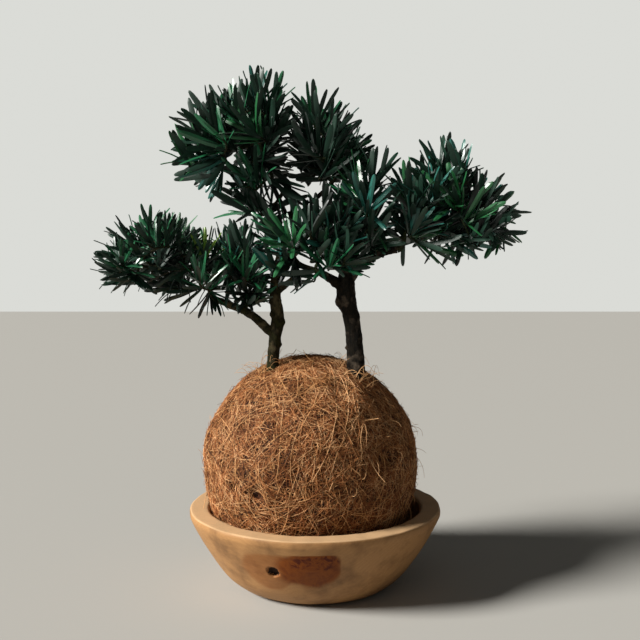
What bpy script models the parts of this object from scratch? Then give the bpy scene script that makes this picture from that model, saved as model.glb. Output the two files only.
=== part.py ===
"""A two-stemmed podocarpus whose roots are wrapped in a ball of coconut fibre, stood in a carved wooden bowl.

Lengths are in metres. +Z is up, +X is to the right and +Y points away from the viewer.
The origin is the centre of the bowl's flat underside.
"""

import math
import random
from typing import NamedTuple

import bmesh
import bpy
from mathutils import Vector

# Clearance that touching solids keep
GAP = 0.0003

# The bowl: a turned and sanded shell with a broad, nearly level rim
BOWL_HEIGHT = 0.077
BOWL_RADIUS = 0.125
RIM_WIDTH = 0.019
FOOT_RADIUS = 0.070
BOWL_SIDES = 36
BOWL_OUTSIDE = ((0.0, FOOT_RADIUS), (0.005, 0.0815), (0.016, 0.0925), (0.030, 0.1025),
                (0.045, 0.1120), (0.060, 0.1200), (0.069, 0.1242))
RIM_EDGE_DROP = 0.0016
FLOOR_HEIGHT = 0.013
FLOOR_RADIUS = 0.058
BOWL_INSIDE = ((0.074, 0.1052), (0.060, 0.1040), (0.040, 0.0950), (0.022, 0.0800), (0.0145, 0.0680))

# A knot hole in the bowl's wall, blind, left of the middle
KNOT_RADIUS = 0.0058
KNOT_DEPTH = 0.0065
KNOT_CENTRE = (-0.0365, -0.1040, 0.0430)
KNOT_SIDES = 12

# The root ball: a little flattened, with a flat bed on the bowl's floor
BALL_CENTRE = Vector((-0.0045, -0.0020, 0.1200))
BALL_RADIUS = 0.1058
BALL_TOP = 0.2265
BALL_BED_RADIUS = 0.046
SHOULDER_FULLNESS = 1.95
BASE_FULLNESS = 2.15
BALL_SIDES = 28
BALL_RINGS = 13
BALL_LUMP = 0.0014

# Limbs
LIMB_SIDES = 8
RING_SPACING = 0.0110
KNOB_SHARE = 0.10

# Foliage
TWIG_SIDES = 3
STEM_RADII = (0.0024, 0.0024, 0.0021, 0.0019)
STEM_LEAD = 0.004
SHOOT_RADIUS = 0.0014
LEAVES_ON_SHOOT = 9
LEAFY_LENGTH = 0.026
OPEN_LEAST = 16
OPEN_MOST = 82
LEAF_WIDEST_AT = 0.58
LEAF_SHAPE = 0.20
LEAF_TIP_SHAPE = 0.05
LEAF_THICKNESS = 0.030
LEAF_SPACING = 0.0032
GOLDEN_ANGLE = math.radians(137.508)
SPACE_MARGIN = 0.045
LIMB_CLEARANCE = 0.0015


class Limb(NamedTuple):
    """A tapering trunk or bough: its path from foot to tip and the radius at each point."""

    name: str
    path: tuple
    radii: tuple
    parent: str
    knobs: int


class Lobe(NamedTuple):
    """A dome of shoots. Its reach is measured from the hub: sideways, in depth, up and down.

    Shoots are dealt from straight up, 1, to the lowest rise, where 0 is level and less than 0 hangs."""

    hub: tuple
    reach: tuple
    shoots: int
    lowest: float = -0.1


class Mass(NamedTuple):
    """A mass of leafy twigs: the limb that bears it, its lobes, its leaves' length and its seed."""

    name: str
    limb: str
    lobes: tuple
    leaf_length: float
    seed: int
    springs_at: float


LIMBS = (
    Limb("left_trunk",
         ((-0.0410, -0.0250, 0.2070), (-0.0390, -0.0240, 0.2410), (-0.0360, -0.0220, 0.2640),
          (-0.0385, -0.0180, 0.2910), (-0.0330, -0.0110, 0.3260), (-0.0275, -0.0060, 0.3520),
          (-0.0215, -0.0050, 0.3710), (-0.0260, -0.0040, 0.3900)),
         (0.0058, 0.0058, 0.0062, 0.0054, 0.0045, 0.0036, 0.0029, 0.0026), "", 5),
    Limb("right_trunk",
         ((0.0405, -0.0280, 0.2010), (0.0386, -0.0270, 0.2416), (0.0352, -0.0262, 0.2657),
          (0.0313, -0.0260, 0.2812), (0.0300, -0.0264, 0.2960), (0.0292, -0.0285, 0.3150)),
         (0.0088, 0.0080, 0.0077, 0.0090, 0.0092, 0.0050), "", 4),
    Limb("left_bough",
         ((-0.0372, -0.0230, 0.2475), (-0.0460, -0.0240, 0.2545), (-0.0567, -0.0250, 0.2642),
          (-0.0672, -0.0260, 0.2715), (-0.0797, -0.0268, 0.2768), (-0.0932, -0.0275, 0.2822)),
         (0.0046, 0.0044, 0.0041, 0.0038, 0.0034, 0.0030), "left_trunk", 3),
    Limb("inner_bough",
         ((-0.0380, -0.0182, 0.2880), (-0.0327, -0.0205, 0.2926), (-0.0240, -0.0240, 0.3000),
          (-0.0160, -0.0275, 0.3065)),
         (0.0032, 0.0030, 0.0028, 0.0026), "left_trunk", 1),
    Limb("top_right_bough",
         ((-0.0260, -0.0058, 0.3565), (-0.0180, -0.0062, 0.3625), (-0.0105, -0.0065, 0.3695),
          (0.0000, -0.0068, 0.3800), (0.0095, -0.0070, 0.3885)),
         (0.0026, 0.0025, 0.0024, 0.0022, 0.0021), "left_trunk", 1),
    Limb("middle_bough",
         ((0.0310, -0.0262, 0.2880), (0.0215, -0.0310, 0.2985), (0.0140, -0.0355, 0.3035),
          (0.0062, -0.0400, 0.3080)),
         (0.0052, 0.0046, 0.0040, 0.0034), "right_trunk", 2),
    Limb("right_bough",
         ((0.0306, -0.0262, 0.2975), (0.0415, -0.0265, 0.3140), (0.0533, -0.0272, 0.3225),
          (0.0658, -0.0282, 0.3280), (0.0790, -0.0295, 0.3305)),
         (0.0056, 0.0050, 0.0043, 0.0038, 0.0034), "right_trunk", 3),
)

MASSES = (
    Mass("left_outer_mass", "left_bough",
         (Lobe((-0.169, -0.032, 0.317), (0.045, 0.050, 0.057, 0.031), 7, -0.3),
          Lobe((-0.138, -0.024, 0.311), (0.042, 0.054, 0.061, 0.031), 6),
          Lobe((-0.104, -0.030, 0.307), (0.038, 0.050, 0.055, 0.044), 6, -0.5),
          Lobe((-0.161, 0.028, 0.324), (0.049, 0.048, 0.049, 0.033), 5)),
         0.037, 11, 1.0),
    Mass("left_inner_mass", "left_bough",
         (Lobe((-0.070, -0.024, 0.313), (0.039, 0.050, 0.050, 0.044), 9, -0.4),
          Lobe((-0.093, 0.030, 0.319), (0.049, 0.046, 0.043, 0.031), 6)),
         0.038, 23, 0.55),
    Mass("middle_mass", "middle_bough",
         (Lobe((-0.016, -0.036, 0.319), (0.034, 0.038, 0.038, 0.029), 5, -0.5),
          Lobe((-0.021, -0.036, 0.334), (0.047, 0.048, 0.053, 0.038), 9, -0.3),
          Lobe((0.020, -0.048, 0.339), (0.045, 0.054, 0.054, 0.041), 9)),
         0.044, 42, 1.0),
    Mass("right_inner_mass", "right_trunk",
         (Lobe((0.051, -0.036, 0.349), (0.044, 0.054, 0.083, 0.038), 9, -0.2),
          Lobe((0.046, 0.022, 0.352), (0.047, 0.048, 0.075, 0.026), 6)),
         0.045, 53, 1.0),
    Mass("right_outer_mass", "right_bough",
         (Lobe((0.087, -0.034, 0.349), (0.040, 0.052, 0.068, 0.036), 7),
          Lobe((0.120, -0.030, 0.351), (0.044, 0.052, 0.098, 0.048), 9, -0.4),
          Lobe((0.154, -0.030, 0.355), (0.049, 0.050, 0.066, 0.042), 8, -0.4),
          Lobe((0.124, 0.026, 0.360), (0.059, 0.048, 0.075, 0.035), 7)),
         0.046, 64, 1.0),
    Mass("top_left_mass", "left_trunk",
         (Lobe((-0.051, -0.012, 0.429), (0.043, 0.052, 0.080, 0.033), 8),
          Lobe((-0.092, -0.014, 0.427), (0.054, 0.050, 0.065, 0.060), 10, -0.6),
          Lobe((-0.071, 0.034, 0.438), (0.055, 0.044, 0.071, 0.047), 6),
          Lobe((-0.043, -0.018, 0.375), (0.045, 0.042, 0.042, 0.042), 6, -0.3)),
         0.046, 75, 1.0),
    Mass("top_right_mass", "top_right_bough",
         (Lobe((0.005, -0.018, 0.419), (0.038, 0.048, 0.076, 0.031), 7),
          Lobe((0.027, -0.006, 0.413), (0.033, 0.044, 0.056, 0.027), 5, -0.3),
          Lobe((0.007, 0.032, 0.428), (0.045, 0.044, 0.067, 0.030), 6)),
         0.044, 86, 1.0),
)

# name: colour, roughness
FINISHES = {
    "bowl_wood": ((0.55, 0.36, 0.18), 0.55),
    "coconut_fibre": ((0.40, 0.20, 0.09), 0.95),
    "bark": ((0.07, 0.055, 0.035), 0.9),
    "leaf": ((0.012, 0.055, 0.028), 0.4),
}


def clear_scene():
    """Removes what the scene starts with."""
    for thing in list(bpy.data.objects):
        bpy.data.objects.remove(thing)


def material(finish):
    """The named finish as a material, made once."""
    found = bpy.data.materials.get(finish)
    if found:
        return found
    colour, roughness = FINISHES[finish]
    made = bpy.data.materials.new(finish)
    made.use_nodes = True
    shader = made.node_tree.nodes["Principled BSDF"]
    shader.inputs["Base Color"].default_value = (*colour, 1.0)
    shader.inputs["Roughness"].default_value = roughness
    return made


def object_from(name, mesh, finish=""):
    """Links a mesh to the scene as a named object."""
    made = bpy.data.objects.new(name, mesh)
    bpy.context.scene.collection.objects.link(made)
    if finish:
        mesh.materials.append(material(finish))
    return made


def mesh_of(name, points, faces):
    """A mesh from points and faces, its faces turned to point outwards."""
    mesh = bpy.data.meshes.new(name)
    mesh.from_pydata([tuple(p) for p in points], [], faces)
    form = bmesh.new()
    form.from_mesh(mesh)
    bmesh.ops.recalc_face_normals(form, faces=form.faces)
    form.to_mesh(mesh)
    form.free()
    return mesh


def smooth(thing, sharp_above=50):
    """Shades a round piece smooth, with its edges kept crisp."""
    thing.data.shade_smooth()
    thing.data.set_sharp_from_angle(angle=math.radians(sharp_above))


def loft(rings):
    """Points and faces of a closed skin over rings of points, each as long as the next, with flat ends."""
    count = len(rings[0])
    points = [p for ring in rings for p in ring]
    faces = [tuple(reversed(range(count)))]
    for level in range(len(rings) - 1):
        low, high = level * count, (level + 1) * count
        for i in range(count):
            j = (i + 1) % count
            faces.append((low + i, low + j, high + j, high + i))
    last = (len(rings) - 1) * count
    faces.append(tuple(range(last, last + count)))
    return points, faces


def cut(thing, cutter):
    """Takes the cutter's shape out of a piece, then removes the cutter."""
    step = thing.modifiers.new("cut", "BOOLEAN")
    step.operation = "DIFFERENCE"
    step.object = cutter
    apply_modifiers(thing)
    bpy.data.objects.remove(cutter)


def apply_modifiers(thing):
    """Replaces a piece's mesh by what its modifiers make of it."""
    graph = bpy.context.evaluated_depsgraph_get()
    made = bpy.data.meshes.new_from_object(thing.evaluated_get(graph))
    thing.modifiers.clear()
    thing.data = made


def circle_ring(centre, radius, sides, height):
    """A level ring of points."""
    turns = (2 * math.pi * i / sides for i in range(sides))
    return [Vector((centre[0] + radius * math.cos(t), centre[1] + radius * math.sin(t), height))
            for t in turns]


def build_bowl():
    """The bowl: its outside, broad rim and inside turned as one shell, with the knot hole cut in."""
    profile = list(BOWL_OUTSIDE)
    profile.append((BOWL_HEIGHT - RIM_EDGE_DROP, BOWL_RADIUS))
    profile.append((BOWL_HEIGHT, BOWL_RADIUS - 0.004))
    profile.append((BOWL_HEIGHT, BOWL_RADIUS - RIM_WIDTH))
    profile.extend(BOWL_INSIDE)
    profile.append((FLOOR_HEIGHT, FLOOR_RADIUS))
    rings = [circle_ring((0, 0), radius, BOWL_SIDES, height) for height, radius in profile]
    bowl = object_from("wooden_bowl", mesh_of("wooden_bowl", *loft(rings)), "bowl_wood")
    outward = Vector((KNOT_CENTRE[0], KNOT_CENTRE[1], 0)).normalized()
    wall = Vector(KNOT_CENTRE)
    cut(bowl, rod("knot_cutter", wall - outward * KNOT_DEPTH, wall + outward * 0.02, KNOT_RADIUS, KNOT_SIDES))
    smooth(bowl, 35)


def rod(name, start, end, radius, sides):
    """A straight closed rod between two points."""
    path = [Vector(start), Vector(end)]
    return object_from(name, mesh_of(name, *loft(tube_rings(path, [radius] * 2, sides))))


def ball_radius_at(height):
    """The ball's half width at a height: superellipses, sloping at the shoulder and fuller at the base."""
    above = height - BALL_CENTRE.z
    if above > 0:
        half, fullness = BALL_TOP - BALL_CENTRE.z, SHOULDER_FULLNESS
    else:
        half, fullness = BALL_CENTRE.z - FLOOR_HEIGHT, BASE_FULLNESS
    share = min(1.0, abs(above) / half)
    return BALL_RADIUS * (1 - share ** fullness) ** (1 / fullness)


def ball_lump(turn, height):
    """How far the fibre wrapping bulges or dips at a bearing and height above the bowl's rim."""
    level = (height - BOWL_HEIGHT) / (BALL_TOP - BOWL_HEIGHT)
    waves = math.sin(3 * turn + 6 * level) + math.sin(5 * turn - 9 * level + 1.7)
    return BALL_LUMP * waves * math.sin(math.pi * min(1.0, max(0.0, level)))


def build_ball(sockets):
    """The root ball, with a socket for each trunk's foot."""
    bed = FLOOR_HEIGHT + GAP
    rings = [circle_ring(BALL_CENTRE, BALL_BED_RADIUS, BALL_SIDES, bed)]
    for level in range(1, BALL_RINGS):
        angle = math.pi * level / BALL_RINGS
        middle, half = (BALL_TOP + FLOOR_HEIGHT) / 2, (BALL_TOP - FLOOR_HEIGHT) / 2
        height = middle - half * math.cos(angle)
        radius = max(ball_radius_at(height), BALL_BED_RADIUS if level == 1 else 0.012)
        ring = circle_ring(BALL_CENTRE, 1.0, BALL_SIDES, height)
        for i, point in enumerate(ring):
            spread = radius + ball_lump(2 * math.pi * i / BALL_SIDES, height)
            point.x = BALL_CENTRE.x + (point.x - BALL_CENTRE.x) * spread
            point.y = BALL_CENTRE.y + (point.y - BALL_CENTRE.y) * spread
        rings.append(ring)
    ball = object_from("coir_ball", mesh_of("coir_ball", *loft(rings)), "coconut_fibre")
    for socket in sockets:
        cut(ball, socket)
    smooth(ball, 60)


def spline(path, values, spacing):
    """Evenly spaced points on a smooth curve through the path, with the values carried along it."""
    points = [Vector(p) for p in path]
    points = [2 * points[0] - points[1], *points, 2 * points[-1] - points[-2]]
    values = [values[0], *values, values[-1]]
    found, carried = [], []
    for i in range(1, len(points) - 2):
        a, b, c, d = points[i - 1:i + 3]
        steps = max(1, round((c - b).length / spacing))
        for step in range(steps):
            t = step / steps
            found.append(0.5 * (2 * b + (c - a) * t + (2 * a - 5 * b + 4 * c - d) * t ** 2
                                + (3 * b - a - 3 * c + d) * t ** 3))
            ease = t * t * (3 - 2 * t)
            carried.append(values[i] * (1 - ease) + values[i + 1] * ease)
    return [*found, points[-2]], [*carried, values[-2]]


def tube_rings(path, radii, sides):
    """Rings of points square to a path, turned as little as the path allows."""
    across = Vector((1, 0, 0))
    rings = []
    for i, point in enumerate(path):
        ahead = (path[min(i + 1, len(path) - 1)] - path[max(i - 1, 0)]).normalized()
        if abs(across.dot(ahead)) > 0.9:
            across = Vector((0, 1, 0))
        across = (across - ahead * across.dot(ahead)).normalized()
        side = ahead.cross(across)
        turns = (2 * math.pi * k / sides for k in range(sides))
        rings.append([point + (across * math.cos(t) + side * math.sin(t)) * radii[i] for t in turns])
    return rings


def limb_course(limb):
    """The limb's fine path and radii, foot to tip."""
    return spline(limb.path, limb.radii, RING_SPACING)


def build_limb(limb, swell=0.0, name=""):
    """A limb with old pruning knobs along it. Swell makes the fatter copy that clears its neighbours."""
    path, radii = limb_course(limb)
    chance = random.Random(limb.name)
    rings = tube_rings(path, [r + swell for r in radii], LIMB_SIDES)
    for _ in range(limb.knobs):
        level = chance.randrange(2, len(rings) - 2) if len(rings) > 5 else len(rings) // 2
        corner = chance.randrange(LIMB_SIDES)
        for step, share in ((-1, 0.4), (0, 1.0), (1, 0.4)):
            spot = (corner + step) % LIMB_SIDES
            out = rings[level][spot] - path[level]
            rings[level][spot] = path[level] + out * (1 + KNOB_SHARE * 2.6 * share)
    thing = object_from(name or limb.name, mesh_of(limb.name, *loft(rings)), "bark")
    smooth(thing, 70)
    return thing


def build_limbs():
    """Every trunk and bough. A bough's root is hollowed to fit round its trunk."""
    for limb in LIMBS:
        thing = build_limb(limb)
        if limb.parent:
            parent = next(other for other in LIMBS if other.name == limb.parent)
            cut(thing, build_limb(parent, swell=GAP, name="fitting_cutter"))
            smooth(thing, 70)


def socket_cutters():
    """A little wider and deeper than each trunk's foot, to let it into the ball."""
    cutters = []
    for limb in LIMBS:
        if limb.parent:
            continue
        path, radii = limb_course(limb)
        down = (path[0] - path[1]).normalized()
        lifted = [path[0] + down * GAP, *path[1:3]]
        rings = tube_rings(lifted, [r + 2 * GAP for r in radii[:3]], LIMB_SIDES)
        cutters.append(object_from("socket_cutter", mesh_of("socket_cutter", *loft(rings))))
    return cutters


def lobe_distance(lobe, point):
    """How far out a point lies in a lobe: 0 at its hub and 1 at its reach."""
    x, y, z = (point[i] - lobe.hub[i] for i in range(3))
    upright = lobe.reach[2] if z > 0 else lobe.reach[3]
    return math.sqrt((x / lobe.reach[0]) ** 2 + (y / lobe.reach[1]) ** 2 + (z / upright) ** 2)


def mass_distance(mass, point):
    """The least of the mass's lobe distances."""
    return min(lobe_distance(lobe, point) for lobe in mass.lobes)


def limb_distance(point, courses):
    """The clear distance from a point to the nearest limb's skin."""
    nearest = 1.0
    for path, radii in courses:
        for i in range(len(path) - 1):
            start, run = path[i], path[i + 1] - path[i]
            share = max(0.0, min(1.0, (point - start).dot(run) / run.length_squared))
            away = (point - start - run * share).length - max(radii[i], radii[i + 1])
            nearest = min(nearest, away)
    return nearest


class Space:
    """The room that one mass may fill: inside its lobes, nearer to them than to any other mass, and off the limbs."""

    def __init__(self, mass, courses):
        self.mass = mass
        self.others = [other for other in MASSES if other is not mass]
        self.courses = courses

    def holds(self, point, off_limbs=LIMB_CLEARANCE):
        """True where the point is in the mass's own room."""
        own = mass_distance(self.mass, point)
        if own > 1.08:
            return False
        if any(mass_distance(other, point) < own + SPACE_MARGIN for other in self.others):
            return False
        return limb_distance(point, self.courses) > off_limbs


def nearest_on(links, point):
    """The nearest point on the wood laid down so far, and the direction of growth there."""
    best, place, heading = 1.0, None, None
    for start, end in links:
        run = end - start
        share = max(0.05, min(0.95, (point - start).dot(run) / run.length_squared))
        on = start + run * share
        away = (point - on).length
        if away < best:
            best, place, heading = away, on, run.normalized()
    return place, heading


def stem_start(mass):
    """Where the mass's stem leaves its limb, and the way it points."""
    limb = next(limb for limb in LIMBS if limb.name == mass.limb)
    path, radii = limb_course(limb)
    if mass.springs_at == 1.0:
        ahead = (path[-1] - path[-2]).normalized()
        return path[-1] + ahead * GAP, ahead
    index = round(mass.springs_at * (len(path) - 1))
    towards = Vector(mass.lobes[0].hub) - path[index]
    along = (path[index + 1] - path[index]).normalized()
    ahead = (towards - along * towards.dot(along)).normalized()
    return path[index] + ahead * (radii[index] * (1 + KNOB_SHARE * 2.6) + GAP), ahead


def shoot_tips(mass, lobe, chance):
    """Where the lobe's shoots end, spread evenly over its dome, and the way each points."""
    stand_off = mass.leaf_length * 0.88
    for i in range(lobe.shoots):
        rise = 1 - (i + 0.4) / lobe.shoots * (1 - lobe.lowest)
        flat = math.sqrt(max(0.0, 1 - rise * rise))
        turn = i * GOLDEN_ANGLE + chance.uniform(-0.25, 0.25)
        out = Vector((flat * math.cos(turn) * lobe.reach[0], flat * math.sin(turn) * lobe.reach[1],
                      rise * (lobe.reach[2] if rise > 0 else lobe.reach[3])))
        length = max(out.length - stand_off, out.length * 0.3)
        lean = out.normalized() + Vector((0, 0, 0.22))
        yield Vector(lobe.hub) + out.normalized() * length, lean.normalized()


def bent_path(start, heading, end, finish):
    """Three points from start to end that set off along one direction and arrive along another."""
    span = (end - start).length
    middle = (start + heading * span * 0.4 + end - finish * span * 0.4) / 2
    return [start, middle, end]


def leaf_solid(root, along, face, length):
    """A keeled blade of eight faces: pointed at its foot, with three corners at its widest and a blunt tip."""
    side = along.cross(face).normalized()
    face = side.cross(along).normalized()
    wide, blunt = side * length * LEAF_SHAPE / 2, side * length * LEAF_TIP_SHAPE / 2
    widest, tip = root + along * length * LEAF_WIDEST_AT + face * length * 0.02, root + along * length
    points = [root, widest - wide, widest + wide, widest - face * length * LEAF_THICKNESS,
              tip - blunt, tip + blunt]
    faces = [(0, 1, 2), (0, 3, 1), (0, 2, 3), (1, 4, 2), (2, 4, 5), (1, 3, 4), (2, 5, 3), (3, 5, 4)]
    return points, faces


def leaf_outline(root, along, face, length):
    """Points on a leaf's outline, to test that it has room."""
    side = along.cross(face).normalized() * length * LEAF_SHAPE / 2
    widest = root + along * length * LEAF_WIDEST_AT
    return [root + along * length * 0.3, widest - side, widest + side, root + along * length]


def lines_apart(start, run, other_start, other_run):
    """The least distance between two straight lines of limited length."""
    across = start - other_start
    a, b, c = run.dot(run), run.dot(other_run), other_run.dot(other_run)
    d, e = run.dot(across), other_run.dot(across)
    span = a * c - b * b
    share = max(0.0, min(1.0, (b * e - c * d) / span)) if span > 1e-12 else 0.0
    other = max(0.0, min(1.0, (b * share + e) / c))
    share = max(0.0, min(1.0, (b * other - d) / a))
    return (start + run * share - other_start - other_run * other).length


def clear_of(lines, root, along, length, own):
    """True where a leaf crosses no other leaf and no other shoot. Its foot is left out, for feet crowd together."""
    start, run = root + along * length * 0.2, along * length * 0.8
    return all(shoot == own or lines_apart(start, run, near, far) > LEAF_SPACING for near, far, shoot in lines)


def point_back(path, distance):
    """The point that lies a distance back along a path from its end."""
    for i in range(len(path) - 1, 0, -1):
        step = path[i - 1] - path[i]
        if distance <= step.length or i == 1:
            return path[i] + step.normalized() * min(distance, step.length * 0.9)
        distance -= step.length
    return path[0]


def leaf_on(mass, shoot, number, turn, chance):
    """Where the numbered leaf of a shoot's spiral stands, the lowest opening widest: root, way, face, length."""
    path, ahead = shoot
    below = (path[-1] - path[-2]).normalized()
    across = below.orthogonal().normalized()
    share = number / (LEAVES_ON_SHOOT - 1)
    turn += GOLDEN_ANGLE * number
    out = (across * math.cos(turn) + below.cross(across) * math.sin(turn)).normalized()
    open_by = math.radians(OPEN_LEAST + (OPEN_MOST - OPEN_LEAST) * share + chance.uniform(-6, 6))
    along = (ahead * math.cos(open_by) + out * math.sin(open_by)).normalized()
    face = (ahead * math.sin(open_by) - out * math.cos(open_by)).normalized()
    root = point_back(path, 0.0012 + LEAFY_LENGTH * share)
    length = mass.leaf_length * (1.0 - 0.12 * abs(share - 0.4)) * chance.uniform(0.94, 1.04)
    return root, along, face, length


def shoot_paths(mass, links, space, chance):
    """The mass's shoots, each from the nearest wood laid so far to its tip on the lobe's dome."""
    shoots = []
    for lobe in mass.lobes:
        for tip, finish in shoot_tips(mass, lobe, chance):
            origin, _ = nearest_on(links, tip)
            middle = origin.lerp(tip, 0.5)
            if all(space.holds(p, LIMB_CLEARANCE + SHOOT_RADIUS) for p in (middle, tip)):
                shoots.append(([origin, tip], finish))
                links.append((origin, middle))
    return shoots


def mass_leaves(mass, shoots, space, chance):
    """The mass's leaves, dealt round by round to its shoots, less those with no room."""
    turns = [chance.uniform(0, 2 * math.pi) for _ in shoots]
    lines = [(start, end - start, number)
             for number, (path, _) in enumerate(shoots) for start, end in zip(path[:-1], path[1:])]
    leaves = []
    for number in range(LEAVES_ON_SHOOT):
        for which, shoot in enumerate(shoots):
            leaf = leaf_on(mass, shoot, number, turns[which], chance)
            root, along, _, length = leaf
            if clear_of(lines, root, along, length, which) and all(space.holds(p) for p in leaf_outline(*leaf)):
                lines.append((root + along * length * 0.2, along * length * 0.8, -1))
                leaves.append(leaf_solid(*leaf))
    return leaves


def stem_links(mass):
    """The mass's stem and its side stems to every hub, each as a path."""
    start, ahead = stem_start(mass)
    paths, links = [], []
    for lobe in sorted(mass.lobes, key=lambda one: (Vector(one.hub) - start).length):
        hub = Vector(lobe.hub)
        origin, heading = nearest_on(links, hub) if links else (start, ahead)
        rising = ((hub - origin).normalized() + Vector((0, 0, 0.4))).normalized()
        path = bent_path(origin + heading * STEM_LEAD, heading, hub, rising)
        path.insert(0, origin)
        links.extend(zip(path[:-1], path[1:]))
        paths.append(path)
    return paths, links


def stem_courses(mass):
    """The paths and radii of every other mass's stems, which this mass keeps off as it keeps off limbs."""
    return [(path, STEM_RADII) for other in MASSES if other is not mass for path in stem_links(other)[0]]


def build_mass(mass, courses):
    """One mass: a stem from its limb, side stems, shoots and leaves, fused in one union."""
    space = Space(mass, courses + stem_courses(mass))
    chance = random.Random(mass.seed)
    paths, links = stem_links(mass)
    solids = [loft(tube_rings(path, STEM_RADII, TWIG_SIDES)) for path in paths]
    shoots = shoot_paths(mass, links, space, chance)
    radii = (SHOOT_RADIUS * 1.15, SHOOT_RADIUS * 0.85)
    solids.extend(loft(tube_rings(path, radii, TWIG_SIDES)) for path, _ in shoots)
    leaves = mass_leaves(mass, shoots, space, chance)
    solids.extend(leaves)
    thing = object_from(mass.name, mesh_of(mass.name, *solids[0]), "leaf")
    fuse(thing, [mesh_of("twig", *solid) for solid in solids[1:]])
    keep_outer_skin(thing)
    print(f"{mass.name}: {len(leaves)} leaves, {len(thing.data.polygons)} triangles")


def fuse(thing, meshes):
    """Joins loose closed meshes to a piece by one union."""
    group = bpy.data.collections.new(thing.name + "_twigs")
    bpy.context.scene.collection.children.link(group)
    for mesh in meshes:
        group.objects.link(bpy.data.objects.new("twig", mesh))
    step = thing.modifiers.new("join", "BOOLEAN")
    step.operation = "UNION"
    step.operand_type = "COLLECTION"
    step.collection = group
    step.solver = "MANIFOLD"
    apply_modifiers(thing)
    for member in list(group.objects):
        bpy.data.objects.remove(member)
    bpy.data.collections.remove(group)


def islands(form):
    """The mesh's separate skins, each a list of its faces. An edge with more than two faces joins nothing."""
    waiting = set(form.faces)
    while waiting:
        seed = waiting.pop()
        skin, front = [seed], [seed]
        while front:
            for edge in front.pop().edges:
                for face in edge.link_faces if len(edge.link_faces) == 2 else ():
                    if face in waiting:
                        waiting.discard(face)
                        skin.append(face)
                        front.append(face)
        yield skin


def keep_outer_skin(thing):
    """Keeps a piece's largest skin: sealed hollows are filled and loose scrap is dropped."""
    form = bmesh.new()
    form.from_mesh(thing.data)
    bmesh.ops.triangulate(form, faces=form.faces)
    skins = sorted(islands(form), key=len, reverse=True)
    scrap = [face for skin in skins[1:] for face in skin]
    bmesh.ops.delete(form, geom=scrap, context="FACES")
    bare = [vertex for vertex in form.verts if not vertex.link_faces]
    bmesh.ops.delete(form, geom=bare, context="VERTS")
    form.to_mesh(thing.data)
    form.free()


def main():
    """Builds the pot, the root ball, the limbs and the crown."""
    clear_scene()
    build_bowl()
    build_ball(socket_cutters())
    build_limbs()
    courses = [limb_course(limb) for limb in LIMBS]
    for mass in MASSES:
        build_mass(mass, courses)


main()
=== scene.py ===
"""A dressed podocarpus: two barked stems with leafy pads, in a ball of coconut fibre, in a carved wooden bowl.

Lengths are in metres and angles in degrees unless a name says otherwise. +Z is up, -Y is towards the viewer.
"""

import logging
import math
import random
from dataclasses import dataclass
from enum import Enum
from typing import Any, Iterable, Iterator

import bpy
import numpy as np
from mathutils import Matrix, Vector, noise


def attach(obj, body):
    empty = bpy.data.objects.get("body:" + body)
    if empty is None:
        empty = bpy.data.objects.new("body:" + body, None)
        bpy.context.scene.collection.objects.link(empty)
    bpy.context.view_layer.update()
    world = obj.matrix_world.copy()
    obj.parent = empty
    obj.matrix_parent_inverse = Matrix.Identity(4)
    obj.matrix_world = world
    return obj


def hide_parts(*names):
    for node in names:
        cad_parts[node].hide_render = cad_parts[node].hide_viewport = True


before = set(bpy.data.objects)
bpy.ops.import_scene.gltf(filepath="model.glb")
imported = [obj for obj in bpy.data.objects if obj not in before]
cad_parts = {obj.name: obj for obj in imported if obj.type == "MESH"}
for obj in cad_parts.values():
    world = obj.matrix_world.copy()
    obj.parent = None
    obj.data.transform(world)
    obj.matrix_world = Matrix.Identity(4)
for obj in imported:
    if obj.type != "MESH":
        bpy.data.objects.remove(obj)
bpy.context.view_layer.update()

LOG = logging.getLogger("podocarpus")
GOLDEN_ANGLE = math.radians(137.508)
Colour = tuple[float, float, float, float]
Points = np.ndarray


# Colours and nodes


def linear(hex_colour: str) -> Colour:
    """Turns an sRGB hex colour to linear light.

    Args:
        hex_colour: six hex digits after a hash.

    Returns:
        Red, green, blue and an alpha of 1.
    """
    parts = (int(hex_colour[i:i + 2], 16) / 255 for i in (1, 3, 5))
    red, green, blue = (p / 12.92 if p <= 0.04045 else ((p + 0.055) / 1.055) ** 2.4 for p in parts)
    return red, green, blue, 1.0


def add(tree: bpy.types.NodeTree, kind: str, feeds: dict[Any, Any] | None = None, **settings: Any) -> bpy.types.Node:
    """Adds a node with its settings and its inputs, each a value or another node's output.

    Args:
        tree: the tree that gets the node.
        kind: the node's type name.
        feeds: socket name or number to a value or an output socket.
        settings: the node's own properties.

    Returns:
        The new node.
    """
    node = tree.nodes.new(kind)
    for name, value in settings.items():
        setattr(node, name, value)
    for socket, value in (feeds or {}).items():
        if isinstance(value, bpy.types.NodeSocket):
            tree.links.new(value, node.inputs[socket])
        else:
            node.inputs[socket].default_value = value
    return node


def blend_colours(tree: bpy.types.NodeTree, share: Any, low: Any, high: Any, kind: str = "MIX") -> bpy.types.NodeSocket:
    """Mixes two colours.

    Args:
        tree: the material's tree.
        share: how much of the second colour, a number or a socket.
        low: the first colour, linear or a socket.
        high: the second colour, linear or a socket.
        kind: Blender's blend type.

    Returns:
        The mixed colour's socket.
    """
    mix = add(tree, "ShaderNodeMix", {0: share, 6: low, 7: high}, data_type="RGBA", blend_type=kind)
    return mix.outputs[2]


def new_material(name: str) -> tuple[bpy.types.Material, bpy.types.NodeTree, bpy.types.Node, bpy.types.NodeSocket]:
    """Starts a node material.

    Args:
        name: what the real material is.

    Returns:
        The material, its tree, its surface shader and its Object coordinates.
    """
    material = bpy.data.materials.new(name)
    material.use_nodes = True
    tree = material.node_tree
    shader = tree.nodes["Principled BSDF"]
    place = add(tree, "ShaderNodeTexCoord").outputs["Object"]
    return material, tree, shader, place


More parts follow.
